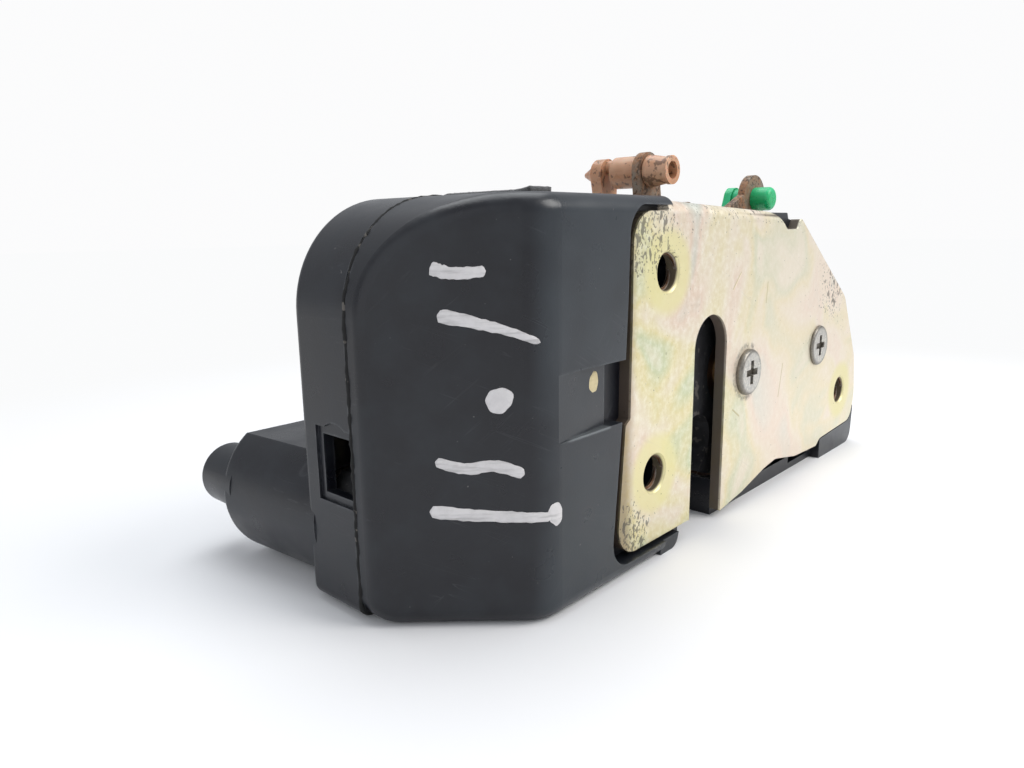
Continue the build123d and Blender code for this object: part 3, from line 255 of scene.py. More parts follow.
# Effects that several finishes share
def edge_wear():
    def build(tree, entry):
        soft = add(tree, "Bevel", {"samples": 4}, None, {"Radius": entry["Width"]})
        true = add(tree, "NewGeometry")
        turn = vector_calc(tree, "DOT_PRODUCT", soft.outputs[0], true.outputs["Normal"])
        edge = fade(tree, turn, 0.995, 0.90)
        patch = fade(tree, cloud(tree, entry["Place"], 420.0, 4.0, 0.65), entry["Break"], 0.72)
        return {"Mask": mul(tree, edge, patch, clamp=True)}

    inputs = (("Vector", "Place", None), ("Float", "Width", 0.0004), ("Float", "Break", 0.35))
    return group_named("Edge wear", inputs, (("Float", "Mask"),), build)


def specks():
    def build(tree, entry):
        grains = cloud(tree, entry["Place"], entry["Scale"], 2.0, 0.5)
        crowd = cloud(tree, entry["Place"], mul(tree, entry["Scale"], 0.13), 2.0, 0.6)
        limit = minus(tree, 0.80, mul(tree, entry["Amount"], crowd))
        mask = fade(tree, grains, limit, plus(tree, limit, 0.06))
        return {"Mask": mask}

    inputs = (("Vector", "Place", None), ("Float", "Scale", 900.0), ("Float", "Amount", 0.25))
    return group_named("Specks", inputs, (("Float", "Mask"),), build)


def scratches():
    def build(tree, entry):
        lines = []
        for turn, seed in ((0.5, 0.0), (-0.9, 3.1)):
            where = {"Vector": entry["Place"]}
            spun = add(tree, "VectorRotate", {"rotation_type": "X_AXIS"}, {"Angle": turn}, where)
            thin = stretch(tree, spun.outputs[0], (60.0, 18.0, 900.0))
            moved = vector_calc(tree, "ADD", thin, (seed, seed, seed))
            wave = cloud(tree, moved, 1.0, 1.0, 0.4)
            line = calc(tree, "ABSOLUTE", minus(tree, wave, 0.62))
            lines.append(fade(tree, line, 0.012, 0.0))
        both = most(tree, lines[0], lines[1])
        gate = fade(tree, cloud(tree, entry["Place"], 90.0, 2.0), 0.48, 0.66)
        strength = mul(tree, gate, entry["Amount"])
        return {"Mask": mul(tree, both, strength, clamp=True)}

    inputs = (("Vector", "Place", None), ("Float", "Amount", 0.6))
    return group_named("Scratches", inputs, (("Float", "Mask"),), build)


def moulded_grain():
    def build(tree, entry):
        fine = cloud(tree, entry["Place"], 3200.0, 2.0, 0.6)
        coarse = cloud(tree, entry["Place"], 160.0, 3.0, 0.5)
        height = plus(tree, mul(tree, fine, 0.35), mul(tree, coarse, 0.65))
        return {"Height": height, "Tone": coarse}

    outputs = (("Float", "Height"), ("Float", "Tone"))
    return group_named("Moulded grain", (("Vector", "Place", None),), outputs, build)


def rainbow_zinc():
    def build(tree, entry):
        drift = cloud(tree, entry["Place"], 42.0, 2.0, 0.5, 0.6)
        ramp = add(tree, "ValToRGB", None, None, {"Fac": drift})
        stops = (
            (0.30, (0.50, 0.58, 0.62)),
            (0.40, (0.74, 0.54, 0.50)),
            (0.48, (0.78, 0.68, 0.58)),
            (0.55, (0.70, 0.61, 0.30)),
            (0.62, (0.46, 0.56, 0.36)),
            (0.70, (0.74, 0.70, 0.60)),
        )
        table = ramp.color_ramp.elements
        while len(table) < len(stops):
            table.new(0.5)
        for item, (position, rgb) in zip(table, stops):
            item.position = position
            item.color = (*rgb, 1.0)
        fine = cloud(tree, entry["Place"], 700.0, 4.0, 0.7)
        tone = blend(tree, entry["Colour Play"], entry["Base"], ramp.outputs[0])
        grainy = blend(tree, fade(tree, fine, 0.35, 0.75, 0.0, 0.35), tone, (1.0, 1.0, 0.96))
        return {"Colour": grainy, "Grain": fine}

    straw = (0.8, 0.75, 0.6, 1.0)
    inputs = (("Vector", "Place", None), ("Color", "Base", straw), ("Float", "Colour Play", 0.5))
    return group_named("Rainbow zinc", inputs, (("Color", "Colour"), ("Float", "Grain")), build)


def rust_bloom():
    def build(tree, entry):
        big = cloud(tree, entry["Place"], 260.0, 5.0, 0.7)
        fine = cloud(tree, entry["Place"], 1500.0, 4.0, 0.7)
        mix = plus(tree, mul(tree, big, 0.7), mul(tree, fine, 0.3))
        limit = minus(tree, 0.72, mul(tree, entry["Amount"], 0.45))
        mask = fade(tree, mix, limit, 0.66)
        return {"Mask": mask, "Height": mix}

    inputs = (("Vector", "Place", None), ("Float", "Amount", 0.7))
    return group_named("Rust bloom", inputs, (("Float", "Mask"), ("Float", "Height")), build)


class Finish:
    """One material in the making: its tree, its Principled shader and object coordinates."""

    def __init__(self, name, rough, metal=0.0, **fixed):
        self.material = bpy.data.materials.new(name)
        self.material.use_nodes = True
        self.tree = self.material.node_tree
        self.shader = self.tree.nodes["Principled BSDF"]
        self.shader.inputs["Roughness"].default_value = rough
        self.shader.inputs["Metallic"].default_value = metal
        for key, value in fixed.items():
            self.shader.inputs[key.replace("_", " ")].default_value = value
        self.here = add(self.tree, "TexCoord").outputs["Object"]

    def set(self, **sockets):
        for key, value in sockets.items():
            place(self.shader, key.replace("_", " "), value)
        return self

    def bump(self, height, distance, strength=1.0):
        made = add(self.tree, "Bump", None, {"Strength": strength, "Distance": distance}, {"Height": height})
        self.tree.links.new(made.outputs[0], self.shader.inputs["Normal"])
        return self

    def split(self):
        return add(self.tree, "SeparateXYZ", None, None, {"Vector": self.here}).outputs


# Finishes
def housing_plastic(settings):
    finish = Finish("Housing plastic", 0.40, Specular_IOR_Level=0.42)
    tree, here = finish.tree, finish.here
    x, y, z = finish.split()
    grain = use(tree, moulded_grain(), Place=here)
    rubbed = use(tree, edge_wear(), Place=here, Width=0.0006, Break=0.30)["Mask"]
    scored = use(tree, scratches(), Place=here, Amount=0.32)["Mask"]
    dust = use(tree, specks(), Place=here, Scale=1100.0, Amount=0.10)["Mask"]
    haze = fade(tree, grain["Tone"], 0.35, 0.75, 0.0, 0.20)
    tone = blend(tree, haze, tuple(settings.housing), tuple(settings.bloom))
    # Painted sheen: the front face is blended in cloudy patches towards the pale bluish bloom colour, as if
    # it caught light; bloom here is that sheen mask.
    front = fade(tree, x, -0.001, 0.0012)
    bloom = mul(tree, front, fade(tree, cloud(tree, here, 30.0, 3.0), 0.2, 0.6))
    tone = blend(tree, mul(tree, bloom, 0.7), tone, tuple(settings.bloom))
    # Painted highlight: a thin pale bluish line along the foot of the band, over the band's width, only
    # inside the painted sheen.
    ledge = fade(tree, off(tree, z, BAND_FOOT_Z * MM), 0.0004, 0.0001)
    ledge = mul(tree, ledge, bloom)
    streak = mul(tree, fade(tree, y, -0.0480, -0.0460), fade(tree, y, -0.0355, -0.0365))
    tone = blend(tree, mul(tree, mul(tree, ledge, streak), 0.7), tone, (0.34, 0.37, 0.38))
    pale = mul(tree, rubbed, settings.wear)
    tone = blend(tree, pale, tone, (0.16, 0.17, 0.18))
    tone = blend(tree, mul(tree, scored, 0.35), tone, (0.14, 0.14, 0.15))
    tone = blend(tree, mul(tree, dust, 0.45), tone, (0.20, 0.19, 0.18))
    rough = plus(tree, fade(tree, grain["Tone"], 0.3, 0.8, 0.27, 0.42), mul(tree, scored, 0.2))
    finish.set(Base_Color=tone, Roughness=rough)
    finish.bump(grain["Height"], 0.00006, 0.55)
    return finish.material


def mark_line(tree, y, z, start, stop, half):
    """Mask of a stamped straight line between two points (y, z) in millimetres."""
    ay, az = start[0] * MM, start[1] * MM
    dy, dz = (stop[0] - start[0]) * MM, (stop[1] - start[1]) * MM
    span = dy * dy + dz * dz
    py = minus(tree, y, ay)
    pz = minus(tree, z, az)
    reach = plus(tree, mul(tree, py, dy), mul(tree, pz, dz))
    t = calc(tree, "DIVIDE", reach, span, clamp=True)
    qy = minus(tree, py, mul(tree, t, dy))
    qz = minus(tree, pz, mul(tree, t, dz))
    away = calc(tree, "SQRT", plus(tree, mul(tree, qy, qy), mul(tree, qz, qz)))
    return fade(tree, away, half * MM * 1.5, half * MM * 0.6)


TOOL_MARKS = (
    ((8.4, 11.0), (11.6, 14.2)),
    ((24.4, 7.0), (24.8, 11.4)),
    ((33.6, -15.8), (35.2, -8.2)),
    ((10.4, -14.6), (13.6, -16.6)),
)


def face_plate_zinc(settings):
    finish = Finish("Face plate zinc", 0.42, 0.55)
    tree, here = finish.tree, finish.here
    x, y, z = finish.split()
    flat = use(tree, rainbow_zinc(), Place=here, Base=tuple(settings.zinc), Colour_Play=0.58)
    tone = flat["Colour"]
    # Painted light: the face plate is blended towards pale cream further to its right (+Y), as if lit more
    # there.
    painted_light_toward_right = fade(tree, y, -0.006, 0.030)
    tone = blend(tree, mul(tree, painted_light_toward_right, 0.50), tone, (0.80, 0.70, 0.60))
    for hole_y, hole_z in FIXING_HOLES:
        reach = radial(tree, y, z, hole_y, hole_z)
        ring = mul(tree, fade(tree, reach, 0.0090, 0.0062), 0.75)
        tone = blend(tree, ring, tone, (0.74, 0.68, 0.34))
    # Painted shade: the plate's left edge, where it sits in the housing's recess, is darkened towards brown.
    painted_shade_left_edge = fade(tree, y, -0.0262, -0.0300)
    tone = blend(tree, mul(tree, painted_shade_left_edge, 0.70), tone, (0.24, 0.15, 0.08))
    corner_top = fade(tree, spot(tree, here, 0, -24, 24), 0.016, 0.003)
    corner_low = fade(tree, spot(tree, here, 0, -28, -31), 0.010, 0.002)
    slope = fade(tree, spot(tree, here, 0, 66, 10), 0.018, 0.004)
    flange = fade(tree, z, 0.0205, 0.0275)
    corners = most(tree, corner_top, corner_low)
    crowd = most(tree, corners, most(tree, mul(tree, slope, 0.8), mul(tree, flange, 0.6)))
    amount = plus(tree, 0.10 + 0.16 * settings.pits, mul(tree, crowd, 0.34))
    fine = use(tree, specks(), Place=here, Scale=1500.0, Amount=amount)["Mask"]
    drawn = stretch(tree, here, (1.0, 1.5, 0.8))
    fewer = minus(tree, amount, 0.06)
    broad = use(tree, specks(), Place=drawn, Scale=480.0, Amount=fewer)["Mask"]
    pits = most(tree, mul(tree, fine, 0.8), mul(tree, broad, 0.9))
    # A patchy darker ring on the plate just outside the fork screw's head, added to the pits.
    ring = fade(tree, off(tree, spot(tree, here, 0, *FORK_PIVOT), HEAD_DARK_RING_R * MM), 0.0010, 0.0)
    dark_ring_round_head = mul(tree, ring, fade(tree, cloud(tree, here, 500.0, 4.0, 0.7), 0.40, 0.60))
    pits = most(tree, pits, mul(tree, dark_ring_round_head, 0.75), clamp=True)
    tone = blend(tree, mul(tree, pits, 0.85), tone, tuple(settings.corrosion))
    front = fade(tree, x, -0.0006, -0.0001)
    stamped = None
    for start, stop in TOOL_MARKS:
        line = mark_line(tree, y, z, start, stop, 0.16)
        stamped = line if stamped is None else most(tree, stamped, line)
    stamped = mul(tree, stamped, front)
    tone = blend(tree, mul(tree, stamped, 0.6), tone, (0.46, 0.38, 0.16))
    scored = use(tree, scratches(), Place=here, Amount=0.5)["Mask"]
    tone = blend(tree, mul(tree, scored, 0.35), tone, (0.50, 0.47, 0.40))
    worn = use(tree, edge_wear(), Place=here, Width=0.0004, Break=0.30)["Mask"]
    tone = blend(tree, mul(tree, worn, 0.45), tone, (0.36, 0.31, 0.24))
    # Painted shade: surfaces set back behind the front face (hole and slot walls, edges, back) are darkened
    # to near-black brown and dulled, except near the top.
    painted_shade_behind_face = mul(tree, fade(tree, x, -0.0002, -0.0006), fade(tree, z, 0.0264, 0.0256))
    tone = blend(tree, mul(tree, painted_shade_behind_face, 0.92), tone, (0.060, 0.040, 0.030))
    dull = most(tree, pits, painted_shade_behind_face)
    rough = plus(tree, fade(tree, flat["Grain"], 0.3, 0.7, 0.36, 0.52), mul(tree, dull, 0.35))
    metal = minus(tree, 0.55, mul(tree, dull, 0.4))
    finish.set(Base_Color=tone, Roughness=rough, Metallic=metal)
    sunk = plus(tree, mul(tree, pits, 0.6), stamped)
    height = minus(tree, mul(tree, flat["Grain"], 0.25), sunk)
    finish.bump(height, 0.00012, 0.6)
    return finish.material


def plain_zinc(settings):
    finish = Finish("Plain zinc", 0.45, 0.7)
    tree, here = finish.tree, finish.here
    flat = use(tree, rainbow_zinc(), Place=here, Base=tuple(settings.zinc), Colour_Play=0.5)
    fine = use(tree, specks(), Place=here, Scale=1400.0, Amount=0.36)["Mask"]
    dull = blend(tree, 0.35, flat["Colour"], (0.42, 0.38, 0.26))
    tone = blend(tree, mul(tree, fine, 0.8), dull, tuple(settings.corrosion))
    finish.set(Base_Color=tone, Roughness=fade(tree, flat["Grain"], 0.3, 0.7, 0.38, 0.6))
    finish.bump(flat["Grain"], 0.00006, 0.4)
    return finish.material


def screw_steel(settings):
    finish = Finish("Screw steel", 0.36, 0.85)
    tree, here = finish.tree, finish.here
    x, y, z = finish.split()
    fine = cloud(tree, here, 1800.0, 4.0, 0.7)
    worn = use(tree, edge_wear(), Place=here, Width=0.0003, Break=0.2)["Mask"]
    # Painted shade: screw parts set back below the head's top (cross recess, sides near the plate) and a ring
    # at each head's rim are darkened.
    sunk = fade(tree, x, 0.0006, 0.0002)
    for pivot_y, pivot_z in (FORK_PIVOT, PAWL_PIVOT):
        away = radial(tree, y, z, pivot_y, pivot_z)
        ring = fade(tree, off(tree, away, HEAD_RIM_R * MM), 0.0014, 0.0004)
        sunk = most(tree, sunk, mul(tree, ring, 0.8))
    film = use(tree, specks(), Place=here, Scale=1300.0, Amount=0.30)["Mask"]
    tone = blend(tree, fade(tree, fine, 0.35, 0.7), tuple(settings.steel), (0.70, 0.67, 0.60))
    # dirt mixes real dirt specks (film) with that painted shade of the recess and head rims.
    dirt = most(tree, mul(tree, film, 0.5), mul(tree, sunk, 0.85), clamp=True)
    tone = blend(tree, dirt, tone, (0.085, 0.070, 0.052))
    tone = blend(tree, mul(tree, worn, 0.5), tone, (0.78, 0.76, 0.72))
    finish.set(Base_Color=tone, Roughness=fade(tree, fine, 0.3, 0.75, 0.28, 0.52))
    finish.bump(fine, 0.00005, 0.4)
    return finish.material


def bare_steel(settings, name, tone, rough):
    finish = Finish(name, rough, 0.9)
    tree, here = finish.tree, finish.here
    fine = cloud(tree, stretch(tree, here, (1.0, 1.0, 6.0)), 900.0, 4.0, 0.65)
    stain = use(tree, rust_bloom(), Place=here, Amount=0.12)["Mask"]
    worn = use(tree, edge_wear(), Place=here, Width=0.0003, Break=0.25)["Mask"]
    base = blend(tree, fade(tree, fine, 0.3, 0.7), tone, tuple(v * 1.35 for v in tone))
    base = blend(tree, mul(tree, stain, 0.6), base, tuple(settings.rust))
    base = blend(tree, mul(tree, worn, 0.5), base, (0.72, 0.71, 0.68))
    finish.set(Base_Color=base, Roughness=fade(tree, fine, 0.3, 0.7, rough - 0.07, rough + 0.12))
    finish.bump(fine, 0.00004, 0.35)
    return finish.material


def lever_rust(settings):
    finish = Finish("Lever rust", 0.72, 0.35)
    tree, here = finish.tree, finish.here
    bloom = use(tree, rust_bloom(), Place=here, Amount=0.85)
    fine = cloud(tree, here, 1400.0, 5.0, 0.75)
    brown = blend(tree, fade(tree, fine, 0.32, 0.68), tuple(settings.rust), (0.40, 0.19, 0.085))
    tone = blend(tree, bloom["Mask"], (0.26, 0.23, 0.19), brown)
    crust = use(tree, specks(), Place=here, Scale=1200.0, Amount=0.5)["Mask"]
    tone = blend(tree, mul(tree, crust, 0.7), tone, (0.045, 0.026, 0.018))
    metal = minus(tree, 0.7, mul(tree, bloom["Mask"], 0.6))
    rough = plus(tree, 0.48, mul(tree, bloom["Mask"], 0.36))
    finish.set(Base_Color=tone, Metallic=metal, Roughness=rough)
    finish.bump(plus(tree, bloom["Height"], mul(tree, fine, 0.5)), 0.00025, 0.8)
    return finish.material


def nylon(name, tone, stain, dirt):
    finish = Finish(name, 0.34, Subsurface_Weight=0.15, Subsurface_Scale=0.0012)
    tree, here = finish.tree, finish.here
    grain = use(tree, moulded_grain(), Place=here)
    lines = cloud(tree, stretch(tree, here, (120.0, 900.0, 900.0)), 1.0, 3.0, 0.6)
    film = use(tree, specks(), Place=here, Scale=900.0, Amount=dirt)["Mask"]
    base = blend(tree, fade(tree, grain["Tone"], 0.35, 0.7), tone, stain)
    base = blend(tree, fade(tree, lines, 0.5, 0.75, 0.0, 0.3), base, tuple(v * 0.45 for v in tone))
    base = blend(tree, mul(tree, film, 0.7), base, (0.09, 0.05, 0.03))
    worn = use(tree, edge_wear(), Place=here, Width=0.0003, Break=0.3)["Mask"]
    base = blend(tree, mul(tree, worn, 0.4), base, tuple(min(1.0, v * 1.9 + 0.08) for v in tone))
    finish.set(Base_Color=base, Roughness=fade(tree, grain["Tone"], 0.3, 0.7, 0.26, 0.5))
    finish.bump(grain["Height"], 0.00008, 0.5)
    return finish.material


def soft_black(name, tone, scale, distance, rough):
    finish = Finish(name, rough)
    tree, here = finish.tree, finish.here
    fine = cloud(tree, here, scale, 5.0, 0.75)
    dust = use(tree, specks(), Place=here, Scale=scale * 0.8, Amount=0.34)["Mask"]
    base = blend(tree, fade(tree, fine, 0.35, 0.75), tone, tuple(v * 2.2 for v in tone))
    base = blend(tree, mul(tree, dust, 0.5), base, (0.20, 0.18, 0.16))
    finish.set(Base_Color=base, Roughness=fade(tree, fine, 0.3, 0.7, rough - 0.08, min(1.0, rough + 0.06)))
    finish.bump(fine, distance, 0.8)
    return finish.material


def felt(settings):
    finish = Finish("Felt", 0.95, Sheen_Weight=0.5, Sheen_Roughness=0.6)
    tree, here = finish.tree, finish.here
    hairs = cloud(tree, stretch(tree, here, (2600.0, 900.0, 2600.0)), 1.0, 5.0, 0.8, 0.8)
    clumps = cloud(tree, here, 420.0, 3.0)
    base = blend(tree, fade(tree, hairs, 0.35, 0.7), (0.012, 0.012, 0.014), (0.050, 0.050, 0.054))
    base = blend(tree, fade(tree, clumps, 0.55, 0.75, 0.0, 0.3), base, (0.10, 0.10, 0.10))
    finish.set(Base_Color=base)
    finish.bump(hairs, 0.00030, 1.0)
    return finish.material


def paint(name, tone, dry):
    finish = Finish(name, 0.55)
    tree, here = finish.tree, finish.here
    bristle = cloud(tree, stretch(tree, here, (160.0, 160.0, 1500.0)), 1.0, 3.0, 0.6)
    clot = cloud(tree, here, 500.0, 4.0, 0.7)
    base = blend(tree, fade(tree, bristle, 0.45, 0.75, 0.0, dry), tone, tuple(v * 0.35 for v in tone))
    base = blend(tree, fade(tree, clot, 0.35, 0.7, 0.0, 0.25), base, tuple(v * 0.6 for v in tone))
    finish.set(Base_Color=base, Roughness=fade(tree, clot, 0.3, 0.7, 0.45, 0.68))
    finish.bump(plus(tree, bristle, clot), 0.00010, 0.7)
    return finish.material


def brassy(name, tone, rough):
    finish = Finish(name, rough, 1.0)
    tree, here = finish.tree, finish.here
    fine = cloud(tree, stretch(tree, here, (1.0, 1.0, 5.0)), 1100.0, 4.0, 0.65)
    tarnish = fade(tree, cloud(tree, here, 210.0, 4.0, 0.6), 0.45, 0.72)
    base = blend(tree, fade(tree, fine, 0.35, 0.7), tone, tuple(v * 0.75 for v in tone))
    base = blend(tree, mul(tree, tarnish, 0.6), base, tuple(v * 0.35 for v in tone))
    finish.set(Base_Color=base, Roughness=fade(tree, fine, 0.3, 0.7, rough - 0.06, rough + 0.14))
    finish.bump(fine, 0.00004, 0.3)
    return finish.material


def coil_copper(name):
    finish = Finish(name, 0.28, 0.9, Coat_Weight=0.5)
    tree, here = finish.tree, finish.here
    coil = {"Scale": 900.0, "Distortion": 1.5}
    turns = add(tree, "TexWave", {"bands_direction": "DIAGONAL"}, coil, {"Vector": here})
    base = blend(tree, turns.outputs[1], (0.22, 0.06, 0.02), (0.62, 0.24, 0.09))
    finish.set(Base_Color=base)
    finish.bump(turns.outputs[1], 0.00020, 0.9)
    return finish.material


# Mesh pieces
def piece(name, mesh, material, body=HOUSING, smooth=True):
    made = bpy.data.objects.new(name, mesh)
    bpy.context.scene.collection.objects.link(made)
    mesh.materials.append(material)
    if smooth:
        for polygon in mesh.polygons:
            polygon.use_smooth = True
    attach(made, body)
    return made


def mesh_of(name, vertices, faces):
    mesh = bpy.data.meshes.new(name)
    mesh.from_pydata([Vector(v) * MM for v in vertices], [], faces)
    mesh.update()
    fixed = bmesh.new()
    fixed.from_mesh(mesh)
    bmesh.ops.recalc_face_normals(fixed, faces=fixed.faces)
    fixed.to_mesh(mesh)
    fixed.free()
    return mesh


def slant(s, t, lift):
    """Point on the slanted face and round its corner: s along it from its outer edge, t its height."""
    run = FACE_X - CHAMFER_X
    rise = CORNER_Y - END_Y
    size = math.hypot(run, rise)
    turn = math.atan2(run, rise)
    flat = size - CORNER_BEND_R * math.tan(turn / 2)
    along = Vector((run / size, rise / size, 0.0))
    out = Vector((rise / size, -run / size, 0.0))
    bend = min(max(s - flat, 0.0) / CORNER_BEND_R, turn)
    normal = out * math.cos(bend) + along * math.sin(bend)
    over = max(s - flat - CORNER_BEND_R * turn, 0.0)
    start = Vector((CHAMFER_X, END_Y, 0.0)) + along * min(s, flat)
    return start + (normal - out) * CORNER_BEND_R + normal * lift + Vector((0.0, over, t))


def band(y, z, lift):
    """Point on the sloping bottom of the band's recess."""
    return Vector((FACE_X - 1.3 * (y + 50.0) / 13.8 + lift, y, z))


def smooth_path(points, count):
    """Points of a smooth curve that passes through the given ones."""
    path = []
    spans = len(points) - 1
    for i in range(count + 1):
        u = i / count * spans
        k = min(int(u), spans - 1)
        f = u - k
        p0 = Vector(points[max(k - 1, 0)])
        p1 = Vector(points[k])
        p2 = Vector(points[k + 1])
        p3 = Vector(points[min(k + 2, spans)])
        straight = (2 * p1) + (p2 - p0) * f
        bent = (2 * p0 - 5 * p1 + 4 * p2 - p3) * f**2
        twisted = (3 * p1 - p0 - 3 * p2 + p3) * f**3
        path.append(0.5 * (straight + bent + twisted))
    return path


def ribbon(points, widths, surface, thickness, seed):
    """Brush stroke: a closed strip along points on a surface, with ragged edges and rounded ends."""
    rng = random.Random(seed)
    count = 26
    end_steps = 2.5
    path = smooth_path(points, count)
    across = 8
    rows = []
    for i, centre in enumerate(path):
        ahead = path[min(i + 1, count)] - path[max(i - 1, 0)]
        side = Vector((-ahead.y, ahead.x)).normalized()
        u = i / count
        width = widths[0] + (widths[1] - widths[0]) * u
        to_end = min(u, 1 - u) * count
        cap = 1.0
        if to_end < end_steps:
            cap = min(1.0, math.sqrt(max(0.0, 1 - (1 - to_end / end_steps) ** 2)))
        row = []
        for j in range(across + 1):
            v = j / across * 2 - 1
            ragged = 1.0 + (rng.uniform(-0.10, 0.10) if abs(v) == 1 else 0.0)
            flat = centre + side * (v * width / 2 * max(cap, 0.12) * ragged)
            crown = thickness * (1 - 0.85 * v * v) * (0.5 + 0.5 * cap)
            row.append((flat, crown))
        rows.append(row)
    vertices = []
    faces = []
    for row in rows:
        for flat, crown in row:
            vertices.append(surface(flat.x, flat.y, crown))
    for row in rows:
        for flat, crown in row:
            vertices.append(surface(flat.x, flat.y, -0.02))
    wide = across + 1
    half = len(rows) * wide
    for i in range(count):
        for j in range(across):
            a = i * wide + j
            faces.append((a, a + 1, a + wide + 1, a + wide))
            faces.append((half + a, half + a + wide, half + a + wide + 1, half + a + 1))
    edge = [j for j in range(wide)] + [i * wide + across for i in range(1, count + 1)]
    edge += [count * wide + j for j in range(across - 1, -1, -1)]
    edge += [i * wide for i in range(count - 1, 0, -1)]
    for a, b in zip(edge, edge[1:] + edge[:1]):
        faces.append((a, half + a, half + b, b))
    return vertices, faces


def blob(centre, radii, surface, thickness, seed, rings=6, around=28):
    """Dab of paint: a low crowned patch with a wavy edge."""
    rng = random.Random(seed)
    phase = [rng.uniform(0, 6.28) for _ in range(4)]
    vertices = [surface(centre[0], centre[1], thickness)]
    faces = []
    for r in range(1, rings + 1):
        u = r / rings
        for k in range(around):
            a = 2 * math.pi * k / around
            wave = 1 + 0.07 * math.sin(2 * a + phase[0]) + 0.05 * math.sin(3 * a + phase[1])
            wave += 0.03 * math.sin(7 * a + phase[2])
            s = centre[0] + math.cos(a) * radii[0] * u * wave
            t = centre[1] + math.sin(a) * radii[1] * u * wave
            vertices.append(surface(s, t, thickness * (1 - u**3) - (0.02 if r == rings else 0.0)))
    for k in range(around):
        faces.append((0, 1 + k, 1 + (k + 1) % around))
    for r in range(rings - 1):
        for k in range(around):
            a = 1 + r * around + k
            b = 1 + r * around + (k + 1) % around
            faces.append((a, a + around, b + around, b))
    floor = len(vertices)
    for k in range(around):
        v = vertices[1 + (rings - 1) * around + k]
        vertices.append(v)
    base = [floor + k for k in range(around)]
    for k in range(around):
        a = 1 + (rings - 1) * around + k
        b = 1 + (rings - 1) * around + (k + 1) % around
        faces.append((a, base[k], base[(k + 1) % around], b))
    faces.append(tuple(base[::-1]))
    return vertices, faces


def helix_thread(centre, inner, outer, front, depth, pitch):
    """Inside thread: a triangular ridge that winds down a hole."""
    per_turn = 40
    turns = depth / pitch
    count = int(per_turn * turns)
    vertices = []
    faces = []
    for i in range(count + 1):
        a = 2 * math.pi * i / per_turn
        x = front - pitch * i / per_turn
        grow = min(1.0, i / 10, (count - i) / 10)
        tip = outer - (outer - inner) * grow
        for radius, shift in ((outer, 0.42), (tip, 0.06), (tip, -0.06), (outer, -0.42)):
            y = centre[0] + radius * math.cos(a)
            z = centre[1] + radius * math.sin(a)
            vertices.append((x + shift * pitch, y, z))
    for i in range(count):
        for j in range(4):
            a = i * 4 + j
            b = i * 4 + (j + 1) % 4
            faces.append((a, b, b + 4, a + 4))
    faces.append((0, 3, 2, 1))
    last = count * 4
    faces.append((last, last + 1, last + 2, last + 3))
    return vertices, faces


def tube_mesh(points, radius, sides=10, closed=False, radii=None):
    """Round tube along points in millimetres, each ring turned with the path."""
    vertices = []
    faces = []
    up = Vector((0.31, 0.12, 0.95))
    count = len(points)
    for i, point in enumerate(points):
        before = Vector(points[(i - 1) % count if closed else max(i - 1, 0)])
        after = Vector(points[(i + 1) % count if closed else min(i + 1, count - 1)])
        ahead = (after - before).normalized()
        side = ahead.cross(up).normalized()
        over = side.cross(ahead).normalized()
        r = radii[i] if radii else radius
        for k in range(sides):
            a = 2 * math.pi * k / sides
            vertices.append(Vector(point) + side * (r * math.cos(a)) + over * (r * math.sin(a)))
    for i in range(count if closed else count - 1):
        for k in range(sides):
            a = i * sides + k
            b = i * sides + (k + 1) % sides
            c = ((i + 1) % count) * sides + (k + 1) % sides
            d = ((i + 1) % count) * sides + k
            faces.append((a, b, c, d))
    if not closed:
        faces.append(tuple(range(sides))[::-1])
        faces.append(tuple((count - 1) * sides + k for k in range(sides)))
    return vertices, faces


def dress(node, material):
    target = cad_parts[node]
    if not target.material_slots:
        target.data.materials.append(material)
    for slot in target.material_slots:
        slot.material = material


def settings(name):
    return getattr(bpy.context.scene, name)


class LATCH_OT_shells(bpy.types.Operator):
    """Finish both halves of the actuator's housing"""

    bl_idname = "latch.shells"
    bl_label = "Housing shells"

    def execute(self, context):
        plastic = housing_plastic(settings("latch_plastic"))
        dress("front_housing", plastic)
        dress("rear_cover", plastic)
        dress("cover_gasket", soft_black("Gasket rubber", (0.010, 0.010, 0.011), 900.0, 0.0002, 0.85))
        dress("striker_bumper", soft_black("Bumper rubber", (0.016, 0.016, 0.016), 1400.0, 0.0001, 0.7))
        return {"FINISHED"}


class LATCH_OT_plates(bpy.types.Operator):
    """Finish the face plate, the back plate and the other zinc plated pieces"""

    bl_idname = "latch.plates"
    bl_label = "Plates"

    def execute(self, context):
        metal = settings("latch_metal")
        dress("face_plate", face_plate_zinc(metal))
        inner = plain_zinc(metal)
        for node in ("back_plate", "pivot_nuts", "fork_washer", "lever_washers", "pawl_lifter", "lock_link"):
            dress(node, inner)
        return {"FINISHED"}


class LATCH_OT_metalwork(bpy.types.Operator):
    """Finish screws, levers, fork, pawl, springs and axles"""

    bl_idname = "latch.metalwork"
    bl_label = "Metalwork"

    def execute(self, context):
        metal = settings("latch_metal")
        screws = screw_steel(metal)
        for node in ("fork_pivot_screw", "pawl_pivot_screw", "cover_screws", "frame_screws"):
            dress(node, screws)
        rusty = lever_rust(metal)
        for node in ("release_lever", "lock_lever", "lever_pivot_stud"):
            dress(node, rusty)
        hard = bare_steel(metal, "Hardened steel", (0.12, 0.12, 0.12), 0.42)
        for node in ("fork_bolt", "pawl", "armature"):
            dress(node, hard)
        bright = bare_steel(metal, "Bright steel", tuple(metal.steel), 0.30)
        for node in ("fork_spring", "pawl_spring", "gear_axle", "sector_axle", "motor_shaft", "motor_can"):
            dress(node, bright)
        dress("fork_coating", soft_black("Fork nylon", (0.020, 0.020, 0.022), 700.0, 0.0001, 0.55))
        return {"FINISHED"}


